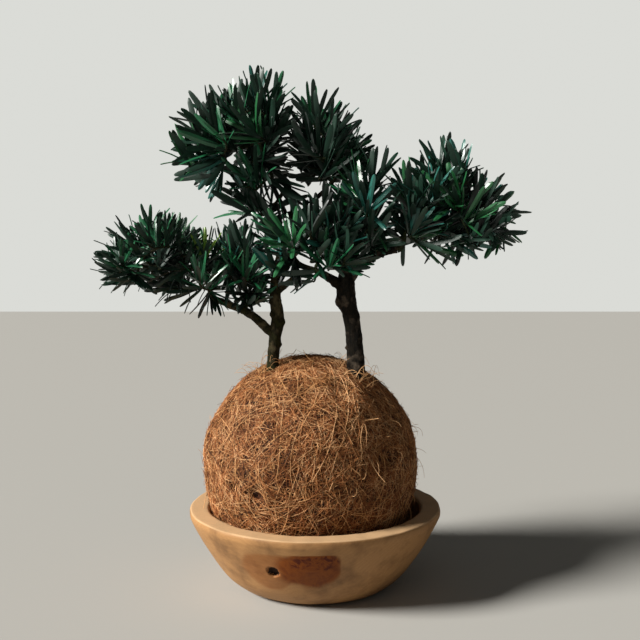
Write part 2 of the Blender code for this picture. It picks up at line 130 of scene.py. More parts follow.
# Finishes


@dataclass(frozen=True)
class LeafSkin:
    """A podocarpus blade: thick, leathery and half glossy, one plain tint to a spray."""

    name: str
    tint: str
    roughness: float = 0.36
    gloss: float = 0.30

    def material(self) -> bpy.types.Material:
        """Makes the tint's material. A waxy cuticle gives the eye soft blue-white glints along the blade."""
        material, tree, shader, place = new_material(self.name)
        shader.inputs["Base Color"].default_value = linear(self.tint)
        shader.inputs["Roughness"].default_value = self.roughness
        shader.inputs["IOR"].default_value = 1.48
        shader.inputs["Coat Weight"].default_value = self.gloss
        shader.inputs["Coat Roughness"].default_value = 0.3
        # Real cuticle ripples are about 1 mm wide and barely raised.
        ripple = add(tree, "ShaderNodeTexNoise", {"Vector": place, "Scale": 700.0, "Detail": 2.0})
        bump = add(tree, "ShaderNodeBump", {"Height": ripple.outputs[0], "Strength": 0.18, "Distance": 0.0004})
        tree.links.new(bump.outputs[0], shader.inputs["Normal"])
        return material


@dataclass(frozen=True)
class Bark:
    """Thin dark conifer bark: flaking, with grey ridges over brown clefts, darkened partly as painted shade, and some
    algae.
    """

    name: str
    cleft: str
    ridge: str
    weathered: str
    algae: str
    algae_share: float

    def material(self) -> bpy.types.Material:
        """Makes the bark. Flakes of 2 to 4 mm, longer than wide, catch the light on their upper edges, and the clefts
        between them are darker, partly as painted shade.
        """
        material, tree, shader, place = new_material(self.name)
        long_way = add(tree, "ShaderNodeMapping", {"Vector": place, "Scale": (1.0, 1.0, 0.38)}).outputs[0]
        flakes = add(tree, "ShaderNodeTexNoise", {"Vector": long_way, "Scale": 420.0, "Detail": 8.0, "Roughness": 0.65})
        patches = add(tree, "ShaderNodeTexNoise", {"Vector": place, "Scale": 95.0, "Detail": 4.0})
        specks = add(tree, "ShaderNodeTexNoise", {"Vector": place, "Scale": 1400.0, "Detail": 3.0})
        high = add(tree, "ShaderNodeMapRange", {"Value": flakes.outputs[0], "From Min": 0.42, "From Max": 0.64})
        grey = add(tree, "ShaderNodeMapRange", {"Value": patches.outputs[0], "From Min": 0.50, "From Max": 0.68})
        green = add(tree, "ShaderNodeMapRange", {"Value": patches.outputs[0], "From Min": 0.56, "From Max": 0.40,
                                                 "To Max": self.algae_share})
        # Painted shade in part: the low ground between raised flakes takes the dark cleft colour, the raised flakes the
        # ridge colour.
        base = blend_colours(tree, high.outputs[0], linear(self.cleft), linear(self.ridge))
        base = blend_colours(tree, grey.outputs[0], base, linear(self.weathered))
        base = blend_colours(tree, green.outputs[0], base, linear(self.algae))
        dim = add(tree, "ShaderNodeMapRange", {"Value": specks.outputs[0], "From Min": 0.3, "From Max": 0.7,
                                               "To Min": 0.7, "To Max": 1.2})
        base = blend_colours(tree, 1.0, base, dim.outputs[0], "MULTIPLY")
        tree.links.new(base, shader.inputs["Base Color"])
        shader.inputs["Roughness"].default_value = 0.88
        shader.inputs["Specular IOR Level"].default_value = 0.15
        rough = add(tree, "ShaderNodeMath", {0: flakes.outputs[0], 1: specks.outputs[0]}, operation="ADD")
        bump = add(tree, "ShaderNodeBump", {"Height": rough.outputs[0], "Strength": 1.0, "Distance": 0.0022})
        tree.links.new(bump.outputs[0], shader.inputs["Normal"])
        return material


@dataclass(frozen=True)
class Strand:
    """Retted coconut fibre: dull, and streaked along its length."""

    name: str
    pale: str
    dark: str

    def material(self) -> bpy.types.Material:
        """Makes the strand. Its colour drifts every 20 mm or so, as the real fibre's does."""
        material, tree, shader, place = new_material(self.name)
        drift = add(tree, "ShaderNodeTexNoise", {"Vector": place, "Scale": 52.0, "Detail": 3.0})
        share = add(tree, "ShaderNodeMapRange", {"Value": drift.outputs[0], "From Min": 0.34, "From Max": 0.66})
        base = blend_colours(tree, share.outputs[0], linear(self.dark), linear(self.pale))
        tree.links.new(base, shader.inputs["Base Color"])
        shader.inputs["Roughness"].default_value = 0.62
        shader.inputs["Specular IOR Level"].default_value = 0.22
        return material


@dataclass(frozen=True)
class FibreMat:
    """The felted mat under the loose strands: short dark fibres and dust pressed together, darker in its hollows partly
    as painted shade.
    """

    name: str
    hollow: str
    fibre: str

    def material(self) -> bpy.types.Material:
        """Makes the mat. Fine crossing streaks 1 mm wide read as more strands lying deeper."""
        material, tree, shader, place = new_material(self.name)
        bent = add(tree, "ShaderNodeTexNoise", {"Vector": place, "Scale": 60.0, "Detail": 3.0})
        lean = add(tree, "ShaderNodeVectorMath", {0: bent.outputs["Color"], 1: (0.03, 0.03, 0.03)}, operation="MULTIPLY")
        spot = add(tree, "ShaderNodeVectorMath", {0: place, 1: lean.outputs[0]}, operation="ADD").outputs[0]
        ways = ((0.4, 0.9, 0.0), (1.1, -0.5, 0.7), (-0.6, 0.3, 1.3))
        height: Any = None
        for way in ways:
            turned = add(tree, "ShaderNodeMapping", {"Vector": spot, "Rotation": way, "Scale": (1.0, 9.0, 9.0)})
            streaks = add(tree, "ShaderNodeTexNoise", {"Vector": turned.outputs[0], "Scale": 110.0, "Detail": 4.0})
            peak = streaks.outputs[0]
            height = peak if height is None else add(tree, "ShaderNodeMath", {0: height, 1: peak},
                                                     operation="MAXIMUM").outputs[0]
        # Painted shade in part: the hollows between the streaks take the near-black hollow colour, the rest the mat's
        # own fibre colour.
        share = add(tree, "ShaderNodeMapRange", {"Value": height, "From Min": 0.52, "From Max": 0.72})
        base = blend_colours(tree, share.outputs[0], linear(self.hollow), linear(self.fibre))
        tree.links.new(base, shader.inputs["Base Color"])
        shader.inputs["Roughness"].default_value = 0.9
        bump = add(tree, "ShaderNodeBump", {"Height": height, "Strength": 1.0, "Distance": 0.002})
        tree.links.new(bump.outputs[0], shader.inputs["Normal"])
        return material


@dataclass(frozen=True)
class Heartwood:
    """A patch of dark heartwood on the bowl's wall, an ellipse in x and z on the near or the far side."""

    centre: tuple[float, float]
    reach: tuple[float, float]
    near_side: bool
    strength: float = 1.0
    core: float = 0.3


@dataclass(frozen=True)
class CarvedWood:
    """Pale hardwood, turned, carved and hand sanded: broad growth rings, smudges, dark heartwood, and a paler rim top
    that is partly painted light.
    """

    name: str
    pale: str
    ring: str
    smudge: str
    heart: str
    heart_core: str
    rim: str
    patches: tuple[Heartwood, ...]
    edge_x: float
    edge_z: float

    def patch(self, tree: bpy.types.NodeTree, place: Any, one: Heartwood) -> bpy.types.NodeSocket:
        """How much heartwood a point has, 0 to 1.

        Args:
            tree: the material's tree.
            place: the point, already bent by noise.
            one: the patch.

        Returns:
            The share's socket.
        """
        x, z = one.centre
        off = add(tree, "ShaderNodeVectorMath", {0: place, 1: (x, 0.0, z)}, operation="SUBTRACT")
        flat = add(tree, "ShaderNodeVectorMath", {0: off.outputs[0], 1: (1 / one.reach[0], 0.0, 1 / one.reach[1])},
                   operation="MULTIPLY")
        far = add(tree, "ShaderNodeVectorMath", {0: flat.outputs[0]}, operation="LENGTH")
        inside = add(tree, "ShaderNodeMapRange", {"Value": far.outputs["Value"], "From Min": 1.08, "From Max": 0.80,
                                                  "To Max": one.strength}, interpolation_type="SMOOTHSTEP")
        depth = add(tree, "ShaderNodeSeparateXYZ", {0: place}).outputs[1]
        side = add(tree, "ShaderNodeMath", {0: depth, 1: 0.0}, operation="LESS_THAN" if one.near_side else "GREATER_THAN")
        return add(tree, "ShaderNodeMath", {0: inside.outputs[0], 1: side.outputs[0]}, operation="MULTIPLY").outputs[0]

    def material(self) -> bpy.types.Material:
        """Makes the wood. Rings 5 mm apart run level round the wall, and sanding leaves it satin."""
        material, tree, shader, place = new_material(self.name)
        bend = add(tree, "ShaderNodeTexNoise", {"Vector": place, "Scale": 14.0, "Detail": 3.0})
        lean = add(tree, "ShaderNodeVectorMath", {0: bend.outputs["Color"], 1: (0.5, 0.5, 0.5)}, operation="SUBTRACT")
        push = add(tree, "ShaderNodeVectorMath", {0: lean.outputs[0], 1: (0.05, 0.05, 0.05)}, operation="MULTIPLY")
        spot = add(tree, "ShaderNodeVectorMath", {0: place, 1: push.outputs[0]}, operation="ADD").outputs[0]
        block = add(tree, "ShaderNodeMapping", {"Vector": spot, "Location": (0.0, 0.16, -0.09),
                                                "Rotation": (0.12, 0.2, 0.35)}).outputs[0]
        rings = add(tree, "ShaderNodeTexWave", {"Vector": block, "Scale": 62.0, "Distortion": 2.2, "Detail": 3.0,
                                                "Detail Scale": 2.0}, wave_type="RINGS", rings_direction="X")
        pores = add(tree, "ShaderNodeMapping", {"Vector": block, "Scale": (1.0, 14.0, 14.0)}).outputs[0]
        grain = add(tree, "ShaderNodeTexNoise", {"Vector": pores, "Scale": 75.0, "Detail": 6.0, "Roughness": 0.7})
        clouds = add(tree, "ShaderNodeTexNoise", {"Vector": place, "Scale": 24.0, "Detail": 4.0, "Roughness": 0.6})
        burl = add(tree, "ShaderNodeTexNoise", {"Vector": block, "Scale": 90.0, "Detail": 5.0, "Roughness": 0.65,
                                                "Distortion": 1.6})
        ring_share = add(tree, "ShaderNodeMath", {0: rings.outputs[1], 1: 0.13}, operation="MULTIPLY")
        base = blend_colours(tree, ring_share.outputs[0], linear(self.pale), linear(self.ring))
        smudged = add(tree, "ShaderNodeMapRange", {"Value": clouds.outputs[0], "From Min": 0.47, "From Max": 0.70,
                                                   "To Max": 0.75})
        base = blend_colours(tree, smudged.outputs[0], base, linear(self.smudge))
        height = add(tree, "ShaderNodeSeparateXYZ", {0: place}).outputs[2]
        # Painted light in part: the rim's flat top takes the paler rim colour, as if sanded and as if lit from above.
        painted_rim_light = add(tree, "ShaderNodeMapRange", {"Value": height, "From Min": 0.0752, "From Max": 0.0760, "To Max": 0.8})
        base = blend_colours(tree, painted_rim_light.outputs[0], base, linear(self.rim))
        east = add(tree, "ShaderNodeSeparateXYZ", {0: place}).outputs[0]
        west_of_edge = add(tree, "ShaderNodeMapRange", {"Value": east, "From Min": self.edge_x + 0.0008,
                                                        "From Max": self.edge_x - 0.0008}).outputs[0]
        below_top = add(tree, "ShaderNodeMapRange", {"Value": height, "From Min": self.edge_z + 0.0006,
                                                     "From Max": self.edge_z - 0.0006}).outputs[0]
        in_edges = add(tree, "ShaderNodeMath", {0: west_of_edge, 1: below_top}, operation="MULTIPLY").outputs[0]
        for one in self.patches:
            share = self.patch(tree, spot, one)
            if one.near_side:
                share = add(tree, "ShaderNodeMath", {0: share, 1: in_edges}, operation="MULTIPLY").outputs[0]
            veins = add(tree, "ShaderNodeMapRange", {"Value": burl.outputs[0], "From Min": 0.44, "From Max": 0.60,
                                                     "To Max": one.core})
            dark = blend_colours(tree, veins.outputs[0], linear(self.heart), linear(self.heart_core))
            base = blend_colours(tree, share, base, dark)
        streak = add(tree, "ShaderNodeMapRange", {"Value": grain.outputs[0], "From Min": 0.3, "From Max": 0.7,
                                                  "To Min": 0.86, "To Max": 1.08})
        base = blend_colours(tree, 1.0, base, streak.outputs[0], "MULTIPLY")
        tree.links.new(base, shader.inputs["Base Color"])
        shader.inputs["Roughness"].default_value = 0.55
        shader.inputs["Specular IOR Level"].default_value = 0.16
        bump = add(tree, "ShaderNodeBump", {"Height": grain.outputs[0], "Strength": 0.25, "Distance": 0.0006})
        tree.links.new(bump.outputs[0], shader.inputs["Normal"])
        return material


class Tint(Enum):
    """The plain leaf tints, dealt one to a spray by how deep in its mass and how upturned it is: the near-black shaded
    green is painted shade, and the blue, fresh and mid greens are partly painted light.
    """

    DEEP = LeafSkin("leaf_deep_green", "#082e1f", 0.42, 0.12)
    # Painted shade: a near-black green for sprays deep in the crown or pointing down.
    SHADE = LeafSkin("leaf_shaded_green", "#03140d", 0.5, 0.05)
    # These three greens go mostly to outer, upturned sprays: partly their own tone, partly painted light.
    BLUE = LeafSkin("leaf_blue_green", "#205a50", 0.34, 0.40)
    FRESH = LeafSkin("leaf_fresh_green", "#205a33")
    MID = LeafSkin("leaf_mid_green", "#195a38")
    YOUNG = LeafSkin("leaf_young_yellow_green", "#6f8f34", 0.45, 0.2)


# A dark green for the undersides, darkened so that they read as shaded: partly their own dull tone, partly painted
# shade.
UNDERSIDE = LeafSkin("leaf_dull_underside", "#112d21", 0.5, 0.05)
# The first colour of each bark is its clefts' dark brown, partly painted shade.
TWIG_SKIN = Bark("green_brown_twig_skin", "#23261a", "#3d4026", "#4d4a38", "#2f3d22", 0.5)
GREY_BARK = Bark("grey_brown_bark", "#050403", "#251d15", "#5f5447", "#1f1e15", 0.35)
OLIVE_BARK = Bark("olive_tinted_bark", "#080604", "#332b1b", "#5f563c", "#38391b", 0.7)
# The mat's near-black hollow colour is partly painted shade between the fibres.
COIR_MAT = FibreMat("felted_coconut_fibre", "#1f1008", "#7c4826")
# The sixth colour is the rim top's pale tone, partly painted light.
BOWL_WOOD = CarvedWood("sanded_pale_hardwood", "#a57b4f", "#81583a", "#5d4028", "#7a3d08", "#481402", "#c9a67e",
                       (Heartwood((-0.038, 0.042), (0.024, 0.020), True, 0.5, 0.1),
                        Heartwood((-0.005, 0.048), (0.034, 0.027), True, 0.96, 0.45),
                        Heartwood((0.000, 0.057), (0.026, 0.010), True, 0.95, 0.95),
                        Heartwood((0.040, 0.040), (0.046, 0.018), False, 0.7, 0.4)), 0.0236, 0.0630)


class Fibre(Enum):
    """The tones of loose coconut fibre in the ball."""

    PALE = Strand("coir_strand_pale", "#e6b583", "#cb9661")
    TAN = Strand("coir_strand_tan", "#c28653", "#9c6438")
    BROWN = Strand("coir_strand_brown", "#985a30", "#704020")
    DARK = Strand("coir_strand_dark", "#4d2a15", "#2e180c")


# Meshes


def mesh_object(name: str, points: Any, faces: Any, *materials: bpy.types.Material) -> bpy.types.Object:
    """Makes a linked object from points and faces.

    Args:
        name: the piece's name.
        points: its corners.
        faces: tuples of corner numbers.
        materials: its materials, in slot order.

    Returns:
        The new object.
    """
    mesh = bpy.data.meshes.new(name)
    mesh.from_pydata(np.asarray(points).tolist(), [], [tuple(face) for face in faces])
    for material in materials:
        mesh.materials.append(material)
    mesh.update()
    made = bpy.data.objects.new(name, mesh)
    bpy.context.scene.collection.objects.link(made)
    return made


def triangles(piece: bpy.types.Object) -> int:
    """The number of triangles in a mesh piece."""
    return sum(len(polygon.vertices) - 2 for polygon in piece.data.polygons)


def present(piece: bpy.types.Object, slot: str, *nodes: str) -> None:
    """Fixes a finished piece to the body, in place of its CAD nodes, and reports it.

    Args:
        piece: the finished piece.
        slot: the record's material slot; not used.
        nodes: the CAD nodes that it stands for.
    """
    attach(piece, "root")
    if nodes:
        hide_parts(*nodes)
    LOG.info("%s: %d triangles", piece.name, triangles(piece))


def closed_rings(rings: Points) -> tuple[Points, list[tuple[int, ...]]]:
    """Skins rings of points to a closed tube with capped ends.

    Args:
        rings: an array of rings by points by xyz.

    Returns:
        The points and the faces.
    """
    levels, count = rings.shape[:2]
    faces: list[tuple[int, ...]] = [tuple(reversed(range(count)))]
    for level in range(levels - 1):
        low, high = level * count, (level + 1) * count
        for i in range(count):
            j = (i + 1) % count
            faces.append((low + i, low + j, high + j, high + i))
    faces.append(tuple(range((levels - 1) * count, levels * count)))
    return rings.reshape(-1, 3), faces


def spline(path: Iterable[Any], values: Iterable[float], spacing: float) -> tuple[list[Vector], list[float]]:
    """Evenly spaced points on a smooth curve through a path, with values carried along it.

    Args:
        path: the points to pass through.
        values: a value at each point.
        spacing: the rough distance between the points returned.

    Returns:
        The points and the value at each.
    """
    points, values = [Vector(p) for p in path], list(values)
    points = [2 * points[0] - points[1], *points, 2 * points[-1] - points[-2]]
    values = [values[0], *values, values[-1]]
    found, carried = [], []
    for i in range(1, len(points) - 2):
        a, b, c, d = points[i - 1:i + 3]
        steps = max(1, round((c - b).length / spacing))
        for step in range(steps):
            t = step / steps
            found.append(0.5 * (2 * b + (c - a) * t + (2 * a - 5 * b + 4 * c - d) * t ** 2
                                + (3 * b - a - 3 * c + d) * t ** 3))
            ease = t * t * (3 - 2 * t)
            carried.append(values[i] * (1 - ease) + values[i + 1] * ease)
    return [*found, points[-2]], [*carried, values[-2]]


def to_plain_mesh(piece: bpy.types.Object) -> None:
    """Replaces a piece's mesh by what its modifiers make of it, and drops them."""
    graph = bpy.context.evaluated_depsgraph_get()
    made = bpy.data.meshes.new_from_object(piece.evaluated_get(graph))
    piece.modifiers.clear()
    old, piece.data = piece.data, made
    made.name = piece.name
    bpy.data.meshes.remove(old)


def grow(piece: bpy.types.Object, tree: bpy.types.NodeTree, **sizes: Any) -> None:
    """Runs a geometry tree on a piece and keeps the result as a plain mesh.

    Args:
        piece: the piece, a mesh that the tree reads.
        tree: the geometry tree.
        sizes: the tree's inputs, by name with underscores for spaces.
    """
    step = piece.modifiers.new(tree.name, "NODES")
    step.node_group = tree
    for item in tree.interface.items_tree:
        if item.in_out == "INPUT" and item.name.replace(" ", "_") in sizes:
            step[item.identifier] = sizes[item.name.replace(" ", "_")]
    to_plain_mesh(piece)


class GeometryTree:
    """A geometry node tree under making, with its named inputs."""

    def __init__(self, name: str, sockets: dict[str, tuple[str, Any]]) -> None:
        """Starts a tree.

        Args:
            name: the tree's name.
            sockets: input name to its socket type and default.
        """
        self.tree = bpy.data.node_groups.new(name, "GeometryNodeTree")
        self.tree.interface.new_socket("Geometry", in_out="INPUT", socket_type="NodeSocketGeometry")
        self.tree.interface.new_socket("Geometry", in_out="OUTPUT", socket_type="NodeSocketGeometry")
        for label, (kind, start) in sockets.items():
            socket = self.tree.interface.new_socket(label, in_out="INPUT", socket_type=kind)
            if start is not None:
                socket.default_value = start
        self.inputs = self.add("NodeGroupInput").outputs

    def add(self, kind: str, feeds: dict[Any, Any] | None = None, **settings: Any) -> bpy.types.Node:
        """Adds a node to this tree. See add."""
        return add(self.tree, kind, feeds, **settings)

    def stored(self, name: str, kind: str) -> bpy.types.NodeSocket:
        """The value that the mesh stores under a name."""
        return self.add("GeometryNodeInputNamedAttribute", {"Name": name}, data_type=kind).outputs["Attribute"]

    def paint(self, geometry: Any, material: bpy.types.Material, selection: Any = True) -> bpy.types.NodeSocket:
        """Sets a material on the selected faces."""
        step = self.add("GeometryNodeSetMaterial", {"Geometry": geometry, "Selection": selection, "Material": material})
        return step.outputs[0]

    def finish(self, geometry: Any) -> bpy.types.NodeTree:
        """Sends a geometry out of the tree and returns the tree."""
        self.add("NodeGroupOutput", {0: geometry})
        return self.tree


def rod_tree(name: str, material: bpy.types.Material) -> bpy.types.NodeTree:
    """A tree that turns paths of bare edges into tapering rods, each point's radius stored as thickness.

    Args:
        name: the tree's name.
        material: what the rods are made of.

    Returns:
        The geometry tree.
    """
    made = GeometryTree(name, {"Sides": ("NodeSocketInt", 6), "Thickness": ("NodeSocketFloat", 1.0)})
    curve = made.add("GeometryNodeMeshToCurve", {"Mesh": made.inputs["Geometry"]})
    radius = made.add("ShaderNodeMath", {0: made.stored("thickness", "FLOAT"), 1: made.inputs["Thickness"]},
                      operation="MULTIPLY")
    profile = made.add("GeometryNodeCurvePrimitiveCircle", {"Resolution": made.inputs["Sides"], "Radius": 1.0})
    skin = made.add("GeometryNodeCurveToMesh", {"Curve": curve.outputs[0], "Profile Curve": profile.outputs[0],
                                                "Scale": radius.outputs[0], "Fill Caps": True})
    real = made.add("GeometryNodeRealizeInstances", {"Geometry": skin.outputs[0]})
    return made.finish(made.paint(real.outputs[0], material))


def rods(name: str, paths: list[Points], thickness: list[Points], tree: bpy.types.NodeTree, sides: int,
         smooth: bool = True) -> bpy.types.Object:
    """Many rods along paths as one piece.

    Args:
        name: the piece's name.
        paths: each rod's points.
        thickness: each rod's radius at each point.
        tree: the rod tree.
        sides: how many sides a rod has.
        smooth: whether it is shaded round.

    Returns:
        The finished piece.
    """
    points = np.concatenate(paths)
    counts = [len(path) for path in paths]
    starts = np.concatenate(([0], np.cumsum(counts)[:-1]))
    first = np.concatenate([start + np.arange(count - 1) for start, count in zip(starts, counts)])
    mesh = bpy.data.meshes.new(name)
    mesh.vertices.add(len(points))
    mesh.vertices.foreach_set("co", points.astype(np.float32).ravel())
    mesh.edges.add(len(first))
    mesh.edges.foreach_set("vertices", np.stack([first, first + 1], 1).astype(np.int32).ravel())
    mesh.attributes.new("thickness", "FLOAT", "POINT").data.foreach_set(
        "value", np.concatenate(thickness).astype(np.float32))
    piece = bpy.data.objects.new(name, mesh)
    bpy.context.scene.collection.objects.link(piece)
    grow(piece, tree, Sides=sides, Thickness=1.0)
    if smooth:
        piece.data.shade_smooth()
    return piece


# The bowl


@dataclass
class Bowl:
    """The wooden bowl: a thick shell with a broad, nearly level rim, softened by hand, and a knot hole."""

    height: float = 0.077
    radius: float = 0.125
    rim_width: float = 0.019
    outside: tuple = ((0.0, 0.0), (0.0, 0.040), (0.0, 0.066), (0.0012, 0.0722), (0.005, 0.0805), (0.016, 0.0925),
                      (0.030, 0.1025), (0.045, 0.1120), (0.060, 0.1200), (0.0685, 0.1240), (0.0725, 0.1250))
    inside: tuple = ((0.0740, 0.1049), (0.068, 0.1043), (0.055, 0.1022), (0.040, 0.0950), (0.022, 0.0800),
                     (0.0142, 0.0660), (0.0130, 0.0520), (0.0130, 0.0))
    knot: tuple[float, float, float] = (-0.0365, -0.1046, 0.0430)
    knot_radius: float = 0.0056
    knot_depth: float = 0.0055
    tool_marks: float = 0.00055

    def profile(self) -> list[tuple[float, float]]:
        """The section from the middle of the underside over the rim to the middle of the floor: height, radius."""
        top, edge = self.height, self.radius
        rim = [(top - 0.0022, edge), (top - 0.0007, edge - 0.0004), (top - 0.0001, edge - 0.0016),
               (top, edge - 0.010), (top - 0.0001, edge - self.rim_width + 0.0020),
               (top - 0.0012, edge - self.rim_width + 0.0003)]
        path = [Vector((radius, 0.0, height)) for height, radius in [*self.outside, *rim, *self.inside]]
        fine, _ = spline(path, [0.0] * len(path), 0.0013)
        return [(max(point.z, 0.0), max(point.x, 0.0)) for point in fine[1:-1]]

    def turns(self) -> list[float]:
        """The bearings of the sections, crowded round the knot."""
        at = math.atan2(self.knot[1], self.knot[0])
        found, turn = [], 0.0
        while turn < 2 * math.pi - 1e-4:
            found.append(at + turn)
            off = min(turn, 2 * math.pi - turn)
            turn += math.radians(0.45 if off < 0.11 else 1.8)
        return found

    def shaped(self, point: Vector, turn: float) -> Vector:
        """A point of the turned form, moved as the hand left it."""
        out = Vector((math.cos(turn), math.sin(turn), 0.0))
        lift = min(1.0, point.z / 0.02) * (0.6 * math.sin(3 * turn + 0.8) + 0.4 * math.sin(7 * turn + 2.0))
        wave = noise.noise(point * 38.0) * 1.4 + lift
        point = point + out * (wave * self.tool_marks)
        if point.z > 0.07:
            point.z -= self.tool_marks * (1.0 + noise.noise(out * 3.1) + 0.8 * noise.noise(out * 9.0))
        off = point - Vector(self.knot)
        off -= out * off.dot(out)
        off.z *= 1.25
        away = off.length / (self.knot_radius * (1 + 0.22 * noise.noise(point * 260.0)))
        if away < 1.25 and point.xy.length > self.radius * 0.8 and out.dot(Vector(self.knot)) > 0:
            deep = max(0.0, min(1.0, (1.12 - away) / 0.34))
            point = point - out * (self.knot_depth * deep * deep * (3 - 2 * deep))
        return point

    def build(self) -> None:
        """Makes and fixes the bowl."""
        profile, turns = self.profile(), self.turns()
        points = [self.shaped(Vector((math.cos(turn) * radius, math.sin(turn) * radius, height)), turn)
                  for height, radius in profile for turn in turns]
        points += [Vector((0.0, 0.0, 0.0)), Vector((0.0, 0.0, profile[-1][0]))]
        count, last = len(turns), (len(profile) - 1) * len(turns)
        faces = [(level * count + i, level * count + (i + 1) % count, (level + 1) * count + (i + 1) % count,
                  (level + 1) * count + i) for level in range(len(profile) - 1) for i in range(count)]
        faces += [((i + 1) % count, i, len(points) - 2) for i in range(count)]
        faces += [(last + i, last + (i + 1) % count, len(points) - 1) for i in range(count)]
        bowl = mesh_object("carved_wooden_bowl", points, faces, BOWL_WOOD.material(), self.knot_material())
        self.paint_knot(bowl)
        bowl.data.shade_smooth()
        present(bowl, "bowl_wood", "wooden_bowl")

    def knot_material(self) -> bpy.types.Material:
        """The near-black brown of the knot hole's inside: partly the knot's own dark wood, partly painted shade in the
        hole.
        """
        material, tree, shader, place = new_material("dark_knot_wood")
        mottle = add(tree, "ShaderNodeTexNoise", {"Vector": place, "Scale": 500.0, "Detail": 4.0})
        # Painted shade in part: the hole's inside is near black, mottled at random.
        base = blend_colours(tree, mottle.outputs[0], linear("#120b07"), linear("#3a2213"))
        tree.links.new(base, shader.inputs["Base Color"])
        shader.inputs["Roughness"].default_value = 0.9
        return material

    def paint_knot(self, bowl: bpy.types.Object) -> None:
        """Gives the sunken faces round the knot the dark material, partly painted shade."""
        centre = Vector(self.knot)
        out = Vector((centre.x, centre.y, 0.0)).normalized()
        for face in bowl.data.polygons:
            off = face.center - centre
            off -= out * off.dot(out)
            off.z *= 1.25
            near = face.center.dot(out) > self.radius * 0.7
            if off.length < self.knot_radius * 0.93 and near:
                face.material_index = 1


# The root ball


